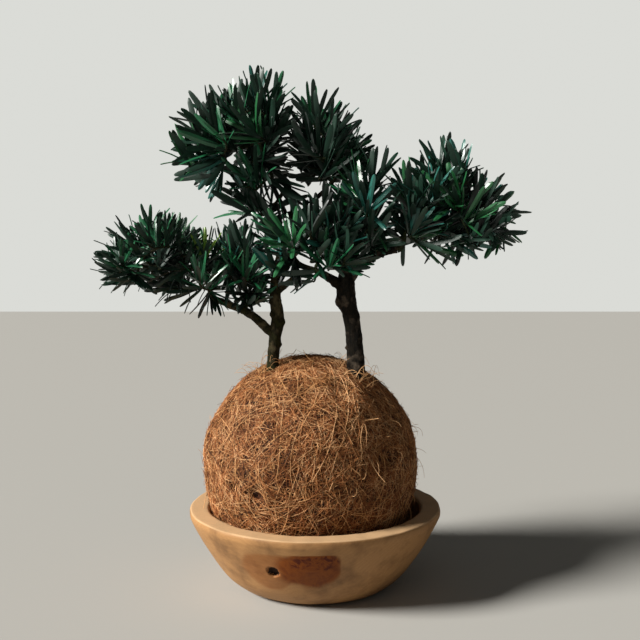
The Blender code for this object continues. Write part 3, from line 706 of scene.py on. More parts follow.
@dataclass
class CoirBall:
    """The root ball: a felted core under thousands of loose coconut fibres."""

    centre: tuple[float, float, float] = (-0.0045, -0.0020, 0.1200)
    radius: float = 0.1052
    top: float = 0.2258
    bottom: float = 0.0133
    shoulder: float = 1.95
    base: float = 2.15
    lump: float = 0.0014
    strands: int = 12400
    dents: tuple = (((-0.0675, -0.0760, -0.0060), 0.0062, 0.0050), ((-0.0465, -0.0930, -0.0110), 0.0070, 0.0050),
                    ((0.0720, -0.0700, 0.0170), 0.0050, 0.0040),
                    ((0.0235, -0.0580, 0.0660), 0.0120, 0.0040), ((0.0010, -0.0610, 0.0640), 0.0110, 0.0025),
                    ((0.0600, -0.0700, 0.0200), 0.0140, 0.0025), ((0.0300, 0.0900, 0.0100), 0.0090, 0.0045),
                    ((-0.0800, 0.0500, 0.0400), 0.0110, 0.0040), ((0.0900, 0.0100, 0.0500), 0.0120, 0.0030))
    pits: int = 3
    seed: int = 5

    def skin(self, ways: Points, lift: Any = 0.0) -> Points:
        """Points on the ball's skin, along directions from its centre.

        Args:
            ways: unit directions, one to a row.
            lift: how far each point stands off the skin.

        Returns:
            The points.
        """
        flat = np.hypot(ways[..., 0], ways[..., 1])
        above = ways[..., 2] > 0
        half = np.where(above, self.top - self.centre[2], self.centre[2] - self.bottom)
        power = np.where(above, self.shoulder, self.base)
        out = ((flat / self.radius) ** power + (np.abs(ways[..., 2]) / half) ** power) ** (-1 / power)
        turn = np.arctan2(ways[..., 1], ways[..., 0])
        level = np.clip((self.centre[2] + out * ways[..., 2] - 0.077) / (self.top - 0.077), 0, 1)
        waves = np.sin(3 * turn + 6 * level) + np.sin(5 * turn - 9 * level + 1.7)
        small = np.sin(11 * turn + 17 * level) * np.sin(23 * level + 3 * turn)
        out = out + (self.lump * waves + 0.0008 * small) * np.sin(np.pi * level) + lift
        for towards, width, depth in self.dents:
            aim = np.asarray(towards) / np.linalg.norm(towards)
            off = np.arccos(np.clip((ways * aim).sum(-1), -1, 1)) * self.radius / width
            out = out - depth * np.exp(-off * off) + 0.3 * depth * np.exp(-(off - 1.7) ** 2 * 2)
        return np.asarray(self.centre) + ways * out[..., None]

    def core(self) -> None:
        """Makes the felted core, pitted where fibres part."""
        rows, columns = 110, 180
        tilt = np.linspace(0.02, np.pi - 0.02, rows)[:, None]
        turn = np.linspace(0, 2 * np.pi, columns, endpoint=False)[None, :]
        ways = np.stack([np.sin(tilt) * np.cos(turn), np.sin(tilt) * np.sin(turn), np.cos(tilt) + 0 * turn], -1)
        rough = np.array([noise.fractal(Vector(way) * 14.0, 0.8, 2.2, 4) for way in ways.reshape(-1, 3)])
        points = self.skin(ways, -0.0012 + 0.0011 * rough.reshape(rows, columns))
        points[..., 2] = np.maximum(points[..., 2], self.bottom)
        skin, faces = closed_rings(points[::-1])
        core = mesh_object("coir_core", skin, faces, COIR_MAT.material())
        core.data.shade_smooth()
        present(core, "coconut_fibre", "coir_ball")

    def strand_paths(self, chance: np.random.Generator, count: int, length: tuple[float, float], steps: int,
                     wisp: float) -> Points:
        """Curving paths over the ball.

        Args:
            chance: the seeded generator.
            count: how many paths.
            length: shortest and longest, in metres.
            steps: points to a path.
            wisp: the most that loose ends stand off.

        Returns:
            Paths by points by xyz.
        """
        way = chance.normal(size=(count, 3))
        way[:, 2] += 0.15
        way /= np.linalg.norm(way, axis=1)[:, None]
        ahead = np.cross(way, chance.normal(size=(count, 3)))
        ahead /= np.linalg.norm(ahead, axis=1)[:, None]
        step = chance.uniform(*length, size=count)[:, None] / self.radius / (steps - 1)
        bend = chance.normal(0, 0.035, size=count)[:, None] * step * 36
        drift = np.zeros((count, 1))
        trail = []
        for _ in range(steps):
            trail.append(way)
            drift = drift * 0.7 + chance.normal(0, 0.035, size=(count, 1))
            side = np.cross(way, ahead)
            turned = ahead * np.cos(bend + drift) + side * np.sin(bend + drift)
            way = way * np.cos(step) + turned * np.sin(step)
            way /= np.linalg.norm(way, axis=1)[:, None]
            ahead = turned - way * (turned * way).sum(1)[:, None]
            ahead /= np.linalg.norm(ahead, axis=1)[:, None]
        ways = np.stack(trail, 1)
        share = np.linspace(-1, 1, steps)[None, :]
        weave = 0.00035 * np.sin(share * chance.uniform(4, 12, (count, 1)) + chance.uniform(0, 6.3, (count, 1)))
        lift = chance.uniform(-0.0006, 0.0009, (count, 1)) + weave
        loose = chance.uniform(0, 1, (count, 1)) ** 6 * wisp
        lift = lift + loose * np.abs(share) ** 5
        points = self.skin(ways, lift)
        points[..., 2] = np.maximum(points[..., 2], self.bottom + 0.0004)
        return points

    def build(self) -> None:
        """Makes and fixes the core and the strands, a piece to each tone."""
        self.core()
        chance = np.random.default_rng(self.seed)
        shares = {Fibre.DARK: (0.15, 0.00016, 0.00028), Fibre.BROWN: (0.30, 0.00016, 0.00029),
                  Fibre.TAN: (0.31, 0.00015, 0.00029), Fibre.PALE: (0.24, 0.00015, 0.00029)}
        for tone, (share, thin, thick) in shares.items():
            count = round(self.strands * share)
            paths = self.strand_paths(chance, count, (0.018, 0.085), 9, 0.0035)
            # Strands are left out of the deep pits, so that the dark mat, partly painted shade, shows there.
            paths = paths[~self.in_pit(paths)]
            radii = chance.uniform(thin, thick, len(paths))[:, None] * np.array([0.5, 1, 1, 1, 1, 1, 1, 1, 0.4])
            tree = rod_tree(tone.value.name, tone.value.material())
            piece = rods(tone.value.name, list(paths), list(radii), tree, 3)
            present(piece, "coconut_fibre")
        self.long_strands(chance)

    def in_pit(self, paths: Points) -> Any:
        """Which paths cross one of the deep pits, where only the dark mat shows, its darkness there partly painted
        shade.
        """
        ways = paths - np.asarray(self.centre)
        ways /= np.linalg.norm(ways, axis=-1)[..., None]
        crossing = np.zeros(len(paths), bool)
        for towards, width, _ in self.dents[:self.pits]:
            aim = np.asarray(towards) / np.linalg.norm(towards)
            off = np.arccos(np.clip((ways * aim).sum(-1), -1, 1)) * self.radius
            crossing |= (off < width * 0.5).any(1)
        return crossing

    def long_strands(self, chance: np.random.Generator) -> None:
        """Makes the few long pale strands that lie over all the others, and the wisps round the stems."""
        paths = self.strand_paths(chance, 240, (0.06, 0.14), 20, 0.009)
        radii = chance.uniform(0.00020, 0.00034, 240)[:, None] * np.linspace(1, 0.5, 20)
        wisps, thin = self.wisps(chance)
        tree = rod_tree("long_coir_strands", Fibre.PALE.value.material())
        piece = rods("long_coir_strands", [*paths, *wisps], [*radii, *thin], tree, 4)
        present(piece, "coconut_fibre")

    def wisps(self, chance: np.random.Generator) -> tuple[list[Points], list[Points]]:
        """Stray hairs that stand off the ball round the stems' feet and at its right side.

        Args:
            chance: the seeded generator.

        Returns:
            Their paths and radii.
        """
        feet = ((-0.041, -0.025), (0.041, -0.028))
        paths, radii = [], []
        for i in range(90):
            foot = np.array(feet[i % 2])
            turn, off = chance.uniform(0, 6.28), chance.uniform(0.006, 0.026)
            start = np.array([foot[0] + off * math.cos(turn), foot[1] + off * math.sin(turn), 0.0])
            way = np.array([start[0] - self.centre[0], start[1] - self.centre[1], 0.088])
            root = self.skin(way / np.linalg.norm(way), 0.0)
            lean = chance.uniform(0, 6.28)
            reach, rise = chance.uniform(0.008, 0.024), chance.uniform(0.002, 0.014)
            share = np.linspace(0, 1, 9)[:, None]
            along = np.array([math.cos(lean), math.sin(lean), 0.0]) * reach
            arch = np.array([0, 0, 1.0]) * rise * np.sin(share * chance.uniform(1.6, 2.9))
            paths.append(root + along * share + arch)
            radii.append(np.linspace(0.00026, 0.00012, 9))
        for i in range(26):
            height, turn = chance.uniform(-0.35, 0.6), chance.uniform(-1.3, 1.0)
            way = np.array([math.cos(turn), math.sin(turn), height])
            root = self.skin(way / np.linalg.norm(way), 0.0)
            share = np.linspace(0, 1, 9)[:, None]
            out = way / np.linalg.norm(way) * chance.uniform(0.003, 0.009)
            fall = np.array([chance.uniform(-0.004, 0.010), chance.uniform(-0.01, 0.01), chance.uniform(-0.024, 0.010)])
            paths.append(root + out * np.sin(share * 2.4) + fall * share ** 1.6)
            radii.append(np.linspace(0.00024, 0.00010, 9))
        return paths, radii


# Stems and boughs


@dataclass(frozen=True)
class Knot:
    """A healed pruning wound: how far along the limb, its bearing in degrees, its width and how far it stands out."""

    along: float
    bearing: float
    width: float
    height: float


@dataclass(frozen=True)
class Limb:
    """A barked trunk or bough: its course from foot to tip and what marks it."""

    name: str
    path: tuple
    radii: tuple
    bark: Bark
    knots: tuple[Knot, ...]
    flare: float = 1.0
    sides: int = 44
    ring_spacing: float = 0.0011
    relief: float = 0.00055

    def course(self, spacing: float) -> tuple[list[Vector], list[float]]:
        """The limb's middle line and radii at a spacing."""
        return spline(self.path, self.radii, spacing)

    def ring(self, centre: Vector, ahead: Vector, across: Vector, radius: float, share: float) -> list[Vector]:
        """One ring of barked skin.

        Args:
            centre: the ring's middle.
            ahead: the limb's direction there.
            across: a direction square to it, the start of the ring.
            radius: the plain radius there.
            share: how far along the limb, 0 to 1.

        Returns:
            The ring's points.
        """
        side = ahead.cross(across)
        points = []
        for i in range(self.sides):
            turn = 2 * math.pi * i / self.sides
            out = across * math.cos(turn) + side * math.sin(turn)
            spot = centre + out * radius
            long_way = Vector((spot.x, spot.y, spot.z * 0.45))
            rise = self.relief * (noise.fractal(long_way * 300.0, 0.7, 2.1, 4) * 0.9
                                  + 0.9 * noise.noise(spot * 90.0)) * min(1.0, radius / 0.006 + 0.25)
            for knot in self.knots:
                off = math.hypot((share - knot.along) * self.length() / knot.width,
                                 math.remainder(turn - math.radians(knot.bearing), 2 * math.pi) * radius / knot.width)
                rise += knot.height * math.exp(-off * off * 1.6) - 0.35 * knot.height * math.exp(-off * off * 14)
            points.append(centre + out * (radius + rise))
        return points

    def length(self) -> float:
        """The limb's rough length."""
        return sum((Vector(b) - Vector(a)).length for a, b in zip(self.path, self.path[1:]))

    def build(self) -> None:
        """Makes and fixes the limb."""
        path, radii = self.course(self.ring_spacing)
        across, rings = Vector((1, 0, 0)), []
        for i, point in enumerate(path):
            ahead = (path[min(i + 1, len(path) - 1)] - path[max(i - 1, 0)]).normalized()
            across = (across - ahead * across.dot(ahead)).normalized()
            share = i / (len(path) - 1)
            widen = 1 + (self.flare - 1) * max(0.0, 1 - share / 0.12) ** 2
            rings.append(self.ring(point, ahead, across, radii[i] * widen, share))
        points, faces = closed_rings(np.array(rings))
        limb = mesh_object(f"barked_{self.name}", points, faces, self.bark.material())
        limb.data.shade_smooth()
        present(limb, "bark", self.name)


LIMBS = (
    Limb("left_trunk",
         ((-0.0410, -0.0250, 0.2070), (-0.0390, -0.0240, 0.2410), (-0.0360, -0.0220, 0.2640),
          (-0.0385, -0.0180, 0.2910), (-0.0330, -0.0110, 0.3260), (-0.0275, -0.0060, 0.3520),
          (-0.0215, -0.0050, 0.3710), (-0.0260, -0.0040, 0.3900)),
         (0.0058, 0.0058, 0.0062, 0.0054, 0.0045, 0.0036, 0.0029, 0.0026), OLIVE_BARK,
         (Knot(0.17, 20, 0.0032, 0.0018), Knot(0.29, 355, 0.0030, 0.0022), Knot(0.33, 190, 0.0034, 0.0020),
          Knot(0.40, 200, 0.0026, 0.0018), Knot(0.44, 330, 0.0026, 0.0014), Knot(0.62, 120, 0.0026, 0.0012)), 1.15),
    Limb("right_trunk",
         ((0.0405, -0.0280, 0.2010), (0.0386, -0.0270, 0.2416), (0.0352, -0.0262, 0.2657),
          (0.0313, -0.0260, 0.2812), (0.0300, -0.0264, 0.2960), (0.0292, -0.0285, 0.3150)),
         (0.0088, 0.0080, 0.0077, 0.0090, 0.0092, 0.0050), GREY_BARK,
         (Knot(0.30, 182, 0.0022, 0.0022), Knot(0.70, 186, 0.0050, 0.0030), Knot(0.56, 355, 0.0044, 0.0012),
          Knot(0.76, 250, 0.0040, 0.0014), Knot(0.45, 260, 0.0030, 0.0009)), 1.12),
    Limb("left_bough",
         ((-0.0372, -0.0230, 0.2475), (-0.0460, -0.0240, 0.2545), (-0.0567, -0.0250, 0.2642),
          (-0.0672, -0.0260, 0.2715), (-0.0797, -0.0268, 0.2768), (-0.0932, -0.0275, 0.2822)),
         (0.0046, 0.0044, 0.0041, 0.0038, 0.0034, 0.0030), OLIVE_BARK,
         (Knot(0.55, 60, 0.0026, 0.0014), Knot(0.8, 220, 0.0022, 0.0010)), 1.3),
    Limb("inner_bough",
         ((-0.0380, -0.0182, 0.2880), (-0.0327, -0.0205, 0.2926), (-0.0240, -0.0240, 0.3000),
          (-0.0160, -0.0275, 0.3065)),
         (0.0032, 0.0030, 0.0028, 0.0026), OLIVE_BARK, (Knot(0.6, 200, 0.0018, 0.0008),), 1.3),
    Limb("top_right_bough",
         ((-0.0260, -0.0058, 0.3565), (-0.0180, -0.0062, 0.3625), (-0.0105, -0.0065, 0.3695),
          (0.0000, -0.0068, 0.3800), (0.0095, -0.0070, 0.3885)),
         (0.0026, 0.0025, 0.0024, 0.0022, 0.0021), GREY_BARK, (Knot(0.5, 90, 0.0018, 0.0007),), 1.2),
    Limb("middle_bough",
         ((0.0310, -0.0262, 0.2880), (0.0215, -0.0310, 0.2985), (0.0140, -0.0355, 0.3035),
          (0.0062, -0.0400, 0.3080)),
         (0.0052, 0.0046, 0.0040, 0.0034), GREY_BARK, (Knot(0.5, 200, 0.0026, 0.0012),), 1.2),
    Limb("right_bough",
         ((0.0306, -0.0262, 0.2975), (0.0415, -0.0265, 0.3140), (0.0533, -0.0272, 0.3225),
          (0.0658, -0.0282, 0.3280), (0.0790, -0.0295, 0.3305)),
         (0.0056, 0.0050, 0.0043, 0.0038, 0.0034), GREY_BARK,
         (Knot(0.45, 250, 0.0028, 0.0014), Knot(0.75, 90, 0.0024, 0.0012)), 1.25),
)


# Foliage


@dataclass(frozen=True)
class Lobe:
    """A dome of shoots, as in the solids: hub, reach sideways, in depth, up and down, shoots, and lowest rise."""

    hub: tuple[float, float, float]
    reach: tuple[float, float, float, float]
    shoots: int
    lowest: float = -0.1

    def far(self, points: Points) -> Points:
        """How far out points lie: 0 at the hub and 1 at the reach."""
        off = points - np.asarray(self.hub)
        upright = np.where(off[..., 2] > 0, self.reach[2], self.reach[3])
        return np.sqrt((off[..., 0] / self.reach[0]) ** 2 + (off[..., 1] / self.reach[1]) ** 2
                       + (off[..., 2] / upright) ** 2)


@dataclass(frozen=True)
class Spray:
    """One shoot: its path from the wood to its tip, the way its leaves close on, and its tint."""

    path: list[Vector]
    ahead: Vector
    tint: int
    leaves: int
    leafy: float


@dataclass(frozen=True)
class Blade:
    """A leaf shape of unit length: broadest past its middle, blunt, with a raised midrib, and bent or twisted."""

    name: str
    bend: float
    twist: float
    stations: tuple = ((0.04, 0.017), (0.16, 0.047), (0.42, 0.064), (0.70, 0.066), (0.89, 0.054), (0.97, 0.032))

    def build(self) -> bpy.types.Object:
        """Makes the blade along +Y with its upper side up, and marks its lower faces."""
        rings = []
        for along, half in self.stations:
            rise = self.bend * along * along
            turn = math.radians(self.twist) * along
            ring = [(-half, -0.010), (0.0, 0.010), (half, -0.010), (0.0, -0.022 if half > 0.03 else -0.014)]
            rings.append([(x * math.cos(turn) - z * math.sin(turn), along, rise + x * math.sin(turn) + z * math.cos(turn))
                          for x, z in ring])
        points = [(0.0, 0.0, 0.0), *(p for ring in rings for p in ring), (0.0, 1.0, self.bend)]
        last = len(points) - 1
        faces, under = [], []
        for i in range(4):
            j = (i + 1) % 4
            low = i in (2, 3)
            faces.append((0, 1 + i, 1 + j))
            under.append(low)
            for level in range(len(rings) - 1):
                a, b = 1 + level * 4, 5 + level * 4
                faces.append((a + j, a + i, b + i, b + j))
                under.append(low)
            end = 1 + (len(rings) - 1) * 4
            faces.append((end + j, end + i, last))
            under.append(low)
        blade = mesh_object(self.name, points, faces)
        self.face_out(blade)
        blade.data.attributes.new("underside", "BOOLEAN", "FACE").data.foreach_set("value", under)
        blade.data.shade_smooth()
        blade.data.set_sharp_from_angle(angle=math.radians(32))
        return blade

    @staticmethod
    def face_out(blade: bpy.types.Object) -> None:
        """Turns the blade's faces outwards where its first face points in."""
        face = blade.data.polygons[1]
        middle = Vector((0.0, face.center.y, face.center.z - 0.01))
        if face.normal.dot(face.center - middle) < 0:
            blade.data.flip_normals()


class Room:
    """The space that one mass may fill: in its own lobes, nearer to them than to others', and off the limbs."""

    def __init__(self, own: "Mass", masses: Iterable["Mass"], limbs: Iterable[Limb]) -> None:
        """Gathers what bounds the mass.

        Args:
            own: the mass.
            masses: every mass.
            limbs: every limb.
        """
        self.own = own.lobes
        self.others = [lobe for mass in masses if mass is not own for lobe in mass.lobes]
        starts, runs, radii = [], [], []
        for limb in limbs:
            path, radius = limb.course(0.008)
            for a, b, near, far in zip(path, path[1:], radius, radius[1:]):
                starts.append(a)
                runs.append(b - a)
                radii.append(max(near, far))
        self.starts, self.runs, self.radii = np.array(starts), np.array(runs), np.array(radii)

    def holds(self, points: Points, off_limbs: float, slack: float = 1.07) -> Points:
        """Which points lie in the mass's own room.

        Args:
            points: the points, by xyz.
            off_limbs: the least clear distance from a limb's skin.
            slack: how far out of the lobes counts as in.

        Returns:
            True or false for each point.
        """
        own = np.min([lobe.far(points) for lobe in self.own], axis=0)
        other = np.min([lobe.far(points) for lobe in self.others], axis=0)
        off = points[..., None, :] - self.starts
        share = np.clip((off * self.runs).sum(-1) / (self.runs ** 2).sum(-1), 0, 1)
        away = np.linalg.norm(off - self.runs * share[..., None], axis=-1) - self.radii
        return (own < slack) & (other > own - 0.12) & (away.min(-1) > off_limbs)


@dataclass(frozen=True)
class Mass:
    """A mass of foliage: the limb that bears it, its lobes, its leaves' length, and the shoots that make its outline."""

    name: str
    limb: str
    lobes: tuple[Lobe, ...]
    leaf: float
    seed: int
    springs_at: float
    young: tuple[float, float, float] | None = None
    spread: float = 0.0195
    tries: int = 420
    more: float = 1.3
    shown: tuple = ()

    def stem_start(self) -> tuple[Vector, Vector]:
        """Where the mass's stem leaves its limb, and its heading."""
        limb = next(limb for limb in LIMBS if limb.name == self.limb)
        path, radii = limb.course(0.011)
        if self.springs_at == 1.0:
            return path[-1], (path[-1] - path[-2]).normalized()
        index = round(self.springs_at * (len(path) - 1))
        along = (path[index + 1] - path[index]).normalized()
        towards = Vector(self.lobes[0].hub) - path[index]
        return path[index] + towards.normalized() * radii[index] * 0.3, (towards - along * towards.dot(along)).normalized()

    def reach_on(self, start: Vector, ahead: Vector) -> float:
        """How far a line runs before it leaves the mass's lobes."""
        steps = np.arange(0.0, 0.12, 0.003)
        line = np.asarray(start) + np.asarray(ahead) * steps[:, None]
        out = np.min([lobe.far(line) for lobe in self.lobes], axis=0) > 1.0
        return float(steps[out.argmax()]) if out.any() else 0.12

    def shoot_tips(self, chance: random.Random) -> list[tuple[Vector, Vector]]:
        """Where shoots end and the way each points, spread through the lobes so that leaf tips fill the outline."""
        start, _ = self.stem_start()
        found: list[tuple[Vector, Vector]] = []
        if self.young:
            found.append((Vector(self.young), Vector((0.05, -0.12, 1.0)).normalized()))
        found += [(Vector(tip), Vector(way).normalized()) for tip, way in self.shown]
        for lobe in self.lobes:
            most = len(found) + round(lobe.shoots * self.more)
            for _ in range(self.tries):
                if len(found) >= most:
                    break
                spot = Vector([chance.gauss(0, 1) for _ in range(3)]).normalized() * chance.random() ** (1 / 3)
                tall = lobe.reach[2] if spot.z > 0 else lobe.reach[3]
                tip = Vector(lobe.hub) + Vector((spot.x * lobe.reach[0], spot.y * lobe.reach[1], spot.z * tall))
                out = Vector((spot.x / lobe.reach[0], spot.y / lobe.reach[1], spot.z / tall)).normalized()
                droop = 0.9 if lobe.lowest < -0.25 else 0.4
                lift = 0.74 + min(0.0, spot.z) * droop
                stray = Vector([chance.gauss(0, 0.2) for _ in range(3)])
                ahead = (out * (0.5 + 0.5 * spot.length) + Vector((0, 0, lift)) + stray).normalized()
                short = self.leaf * chance.uniform(0.84, 1.04) - self.reach_on(tip, ahead)
                if short > 0:
                    tip -= ahead * short
                if all((tip - other).length > self.spread for other, _ in found):
                    found.append((tip, ahead))
        return sorted(found, key=lambda one: (one[0] - start).length)

    def wood(self) -> tuple[list[list[Vector]], list[list[float]]]:
        """The stem and its side stems to every hub: paths and radii."""
        start, ahead = self.stem_start()
        limb = next(limb for limb in LIMBS if limb.name == self.limb)
        thick = limb.radii[-1] if self.springs_at == 1.0 else 0.0024
        paths: list[list[Vector]] = []
        radii: list[list[float]] = []
        for lobe in sorted(self.lobes, key=lambda one: (Vector(one.hub) - start).length):
            hub = Vector(lobe.hub)
            origin, heading = nearest_on(paths, hub) if paths else (start, ahead)
            rising = ((hub - origin).normalized() + Vector((0, 0, 0.4))).normalized()
            path = arc(origin, heading, hub, rising, 12)
            foot = 0.0019 if paths else thick
            paths.append(path)
            radii.append([foot + (0.0014 - foot) * i / 11 for i in range(12)])
        return paths, radii

    def sprays(self, room: Room, chance: random.Random, wood: list[list[Vector]]) -> list[Spray]:
        """The shoots that have room, each from the nearest wood laid so far.

        Args:
            room: the mass's space.
            chance: the seeded generator.
            wood: the paths of the stems, to which the shoots are added.

        Returns:
            The shoots.
        """
        tints = list(Tint)
        found = []
        tips = self.shoot_tips(chance)
        youngest = min(tips, key=lambda one: (one[0] - Vector(self.young)).length)[0] if self.young else None
        for tip, ahead in tips:
            origin, heading = nearest_on(wood, tip)
            outward = (tip - origin).normalized()
            path = arc(origin, (heading * 0.6 + outward).normalized(), tip, ahead, 7)
            # Painted light and shade: a spray deep in its mass or pointing down leans to the near-black shaded green,
            # and an outer, upturned one to the brighter greens.
            painted_light = min(1.0, max(0.0, 1.35 - self.reach_on(tip, ahead) / self.leaf * 0.55)) * (0.4 + 0.6 * (ahead.z > 0.1))
            tint = chance.choices(range(len(tints)), (5, 10 * (1.05 - painted_light), 3.4 * painted_light, 3.2 * painted_light * painted_light, 5 * painted_light, 0))[0]
            if tip == youngest:
                tint = tints.index(Tint.YOUNG)
            span = (tip - origin).length
            leafy = max(0.014, min(self.leaf * 0.95, span * 0.95))
            count = max(12, round(20 * leafy / (self.leaf * 0.95)))
            if room.holds(np.array(path[3:]), 0.0010).all():
                found.append(Spray(path, ahead, tint, count, leafy))
                wood.append(path[:4])
        return found


def arc(start: Vector, heading: Vector, end: Vector, arrival: Vector, count: int) -> list[Vector]:
    """A smooth path that sets off along one direction and arrives along another.

    Args:
        start: its first point.
        heading: the way it sets off.
        end: its last point.
        arrival: the way it arrives.
        count: how many points.

    Returns:
        The points.
    """
    reach = (end - start).length * 0.36
    first, second = start + heading * reach, end - arrival * reach
    found = []
    for i in range(count):
        t = i / (count - 1)
        found.append(start * (1 - t) ** 3 + first * 3 * t * (1 - t) ** 2 + second * 3 * t * t * (1 - t) + end * t ** 3)
    return found


def nearest_on(paths: list[list[Vector]], point: Vector) -> tuple[Vector, Vector]:
    """The nearest point on paths, and the way they run there.

    Args:
        paths: the paths laid so far.
        point: the point sought.

    Returns:
        The place and the heading.
    """
    best, place, heading = 1.0, point, Vector((0, 0, 1))
    for path in paths:
        for a, b in zip(path[1:], path[2:]):
            run = b - a
            share = max(0.0, min(1.0, (point - a).dot(run) / max(run.length_squared, 1e-12)))
            away = (point - a - run * share).length
            if away < best:
                best, place, heading = away, a + run * share, run.normalized()
    return place, heading


def point_back(path: list[Vector], distance: float) -> Vector:
    """The point that lies a distance back along a path from its end."""
    for a, b in zip(reversed(path), list(reversed(path))[1:]):
        step = (b - a).length
        if distance <= step:
            return a + (b - a) * (distance / step)
        distance -= step
    return path[0]


@dataclass
class Crown:
    """All the foliage: masses of twigs and leaves, with the blades they share."""

    masses: tuple[Mass, ...]
    blades: tuple[Blade, ...] = (Blade("blade_straight", 0.03, 4), Blade("blade_upturned", 0.13, -8),
                                 Blade("blade_arched", -0.13, 6), Blade("blade_twisted", 0.05, 24),
                                 Blade("blade_drooped", -0.26, -10))

    def leaf_tree(self, blades: list[bpy.types.Object]) -> bpy.types.NodeTree:
        """A tree that sets a stored blade, turn, length and tint on each point.

        Args:
            blades: the blade objects.

        Returns:
            The geometry tree.
        """
        made = GeometryTree("podocarpus_leaves", {"Leaf scale": ("NodeSocketFloat", 1.0),
                                                  **{blade.name: ("NodeSocketObject", None) for blade in blades}})
        choices = made.add("GeometryNodeJoinGeometry")
        for blade in blades:
            info = made.add("GeometryNodeObjectInfo", {"Object": made.inputs[blade.name]})
            single = made.add("GeometryNodeGeometryToInstance", {"Geometry": info.outputs["Geometry"]})
            made.tree.links.new(single.outputs[0], choices.inputs[0])
        turn = made.add("FunctionNodeEulerToRotation", {0: made.stored("turn", "FLOAT_VECTOR")})
        size = made.add("ShaderNodeMath", {0: made.stored("length", "FLOAT"), 1: made.inputs["Leaf scale"]},
                        operation="MULTIPLY")
        leaves = made.add("GeometryNodeInstanceOnPoints", {
            "Points": made.inputs["Geometry"], "Instance": choices.outputs[0], "Pick Instance": True,
            "Instance Index": made.stored("blade", "INT"), "Rotation": turn.outputs[0], "Scale": size.outputs[0]})
        geometry = made.add("GeometryNodeRealizeInstances", {"Geometry": leaves.outputs[0]}).outputs[0]
        for number, tint in enumerate(Tint):
            same = made.add("FunctionNodeCompare", {2: made.stored("tint", "INT"), 3: number}, data_type="INT",
                            operation="EQUAL")
            geometry = made.paint(geometry, tint.value.material(), same.outputs[0])
        geometry = made.paint(geometry, UNDERSIDE.material(), made.stored("underside", "BOOLEAN"))
        return made.finish(geometry)

    @staticmethod
    def leaves_of(mass: Mass, spray: Spray, chance: random.Random) -> Iterator[tuple[Vector, Vector, Vector, float]]:
        """The leaves of one shoot: a spiral that opens from its tip.

        Args:
            mass: the mass it belongs to.
            spray: the shoot.
            chance: the seeded generator.

        Yields:
            Each leaf's root, way, upper side and length.
        """
        below = (spray.path[-1] - spray.path[-3]).normalized()
        across = below.orthogonal().normalized()
        turn = chance.uniform(0, 2 * math.pi)
        for i in range(spray.leaves):
            share = i / (spray.leaves - 1)
            turn += GOLDEN_ANGLE + chance.uniform(-0.12, 0.12)
            out = across * math.cos(turn) + below.cross(across) * math.sin(turn)
            open_by = math.radians(6 + 44 * share ** 0.75 + chance.uniform(-6, 7))
            along = (spray.ahead * math.cos(open_by) + out * math.sin(open_by)).normalized()
            face = (spray.ahead * math.sin(open_by) - out * math.cos(open_by)).normalized()
            face = (face + along.orthogonal().normalized() * chance.uniform(-0.35, 0.35)).normalized()
            root = point_back(spray.path, 0.0008 + spray.leafy * share)
            young = 0.80 + 0.20 * min(1.0, share / 0.22)
            length = mass.leaf * young * (1.0 - 0.16 * max(0.0, share - 0.5)) * chance.uniform(0.88, 1.06)
            yield root, along, face, length

    def leafy_piece(self, mass: Mass, sprays: list[Spray], room: Room, chance: random.Random,
                    tree: bpy.types.NodeTree, blades: list[bpy.types.Object]) -> None:
        """Makes and fixes a mass's leaves.

        Args:
            mass: the mass.
            sprays: its shoots.
            room: its space.
            chance: the seeded generator.
            tree: the leaf tree.
            blades: the blade objects.
        """
        dealt = [(leaf, spray.tint) for spray in sprays for leaf in self.leaves_of(mass, spray, chance)]
        rows = []
        for size in (1.0, 0.84, 0.7):
            outline = np.array([[root + along * length * size * share + along.cross(face) * side * length * 0.08
                                 for share, side in ((0.35, 0), (0.6, 0.85), (0.6, -0.85), (1.0, 0))]
                                for (root, along, face, length), _ in dealt])
            keep = room.holds(outline.reshape(-1, 3), 0.0009).reshape(-1, 4).all(1)
            rows += [((*leaf[:3], leaf[3] * size), tint) for (leaf, tint), kept in zip(dealt, keep) if kept]
            dealt = [row for row, kept in zip(dealt, keep) if not kept]
        name = f"{mass.name}_leaves"
        mesh = bpy.data.meshes.new(name)
        mesh.from_pydata([leaf[0] for leaf, _ in rows], [], [])
        turns, lengths, kinds, tints = [], [], [], []
        for (_, along, face, length), tint in rows:
            side = along.cross(face).normalized()
            up = side.cross(along)
            turns.extend(Matrix((side, along, up)).transposed().to_euler())
            lengths.append(length)
            kinds.append(chance.choices(range(len(blades)), (4, 3, 2.6, 1.6, 1.3))[0])
            tints.append(tint)
        for label, kind, key, values in (("turn", "FLOAT_VECTOR", "vector", turns), ("length", "FLOAT", "value", lengths),
                                         ("blade", "INT", "value", kinds), ("tint", "INT", "value", tints)):
            mesh.attributes.new(label, kind, "POINT").data.foreach_set(key, values)
        piece = bpy.data.objects.new(name, mesh)
        bpy.context.scene.collection.objects.link(piece)
        grow(piece, tree, Leaf_scale=1.0, **{blade.name: blade for blade in blades})
        present(piece, "leaf", mass.name)
        LOG.info("%s: %d shoots, %d leaves, %d without room", mass.name, len(sprays), len(rows), len(dealt))

    def build(self) -> None:
        """Makes and fixes every mass."""
        blades = [blade.build() for blade in self.blades]
        tree, twigs = self.leaf_tree(blades), rod_tree("podocarpus_twigs", TWIG_SKIN.material())
        for mass in self.masses:
            room = Room(mass, self.masses, LIMBS)
            chance = random.Random(mass.seed)
            paths, radii = mass.wood()
            sprays = mass.sprays(room, chance, [*paths])
            paths += [spray.path for spray in sprays]
            radii += [[0.0013 - 0.0005 * i / 6 for i in range(7)] for _ in sprays]
            piece = rods(f"{mass.name}_twigs", [np.array(p) for p in paths], [np.array(r) for r in radii], twigs, 7)
            present(piece, "leaf", mass.name)
            self.leafy_piece(mass, sprays, room, chance, tree, blades)
        for blade in blades:
            bpy.data.objects.remove(blade)


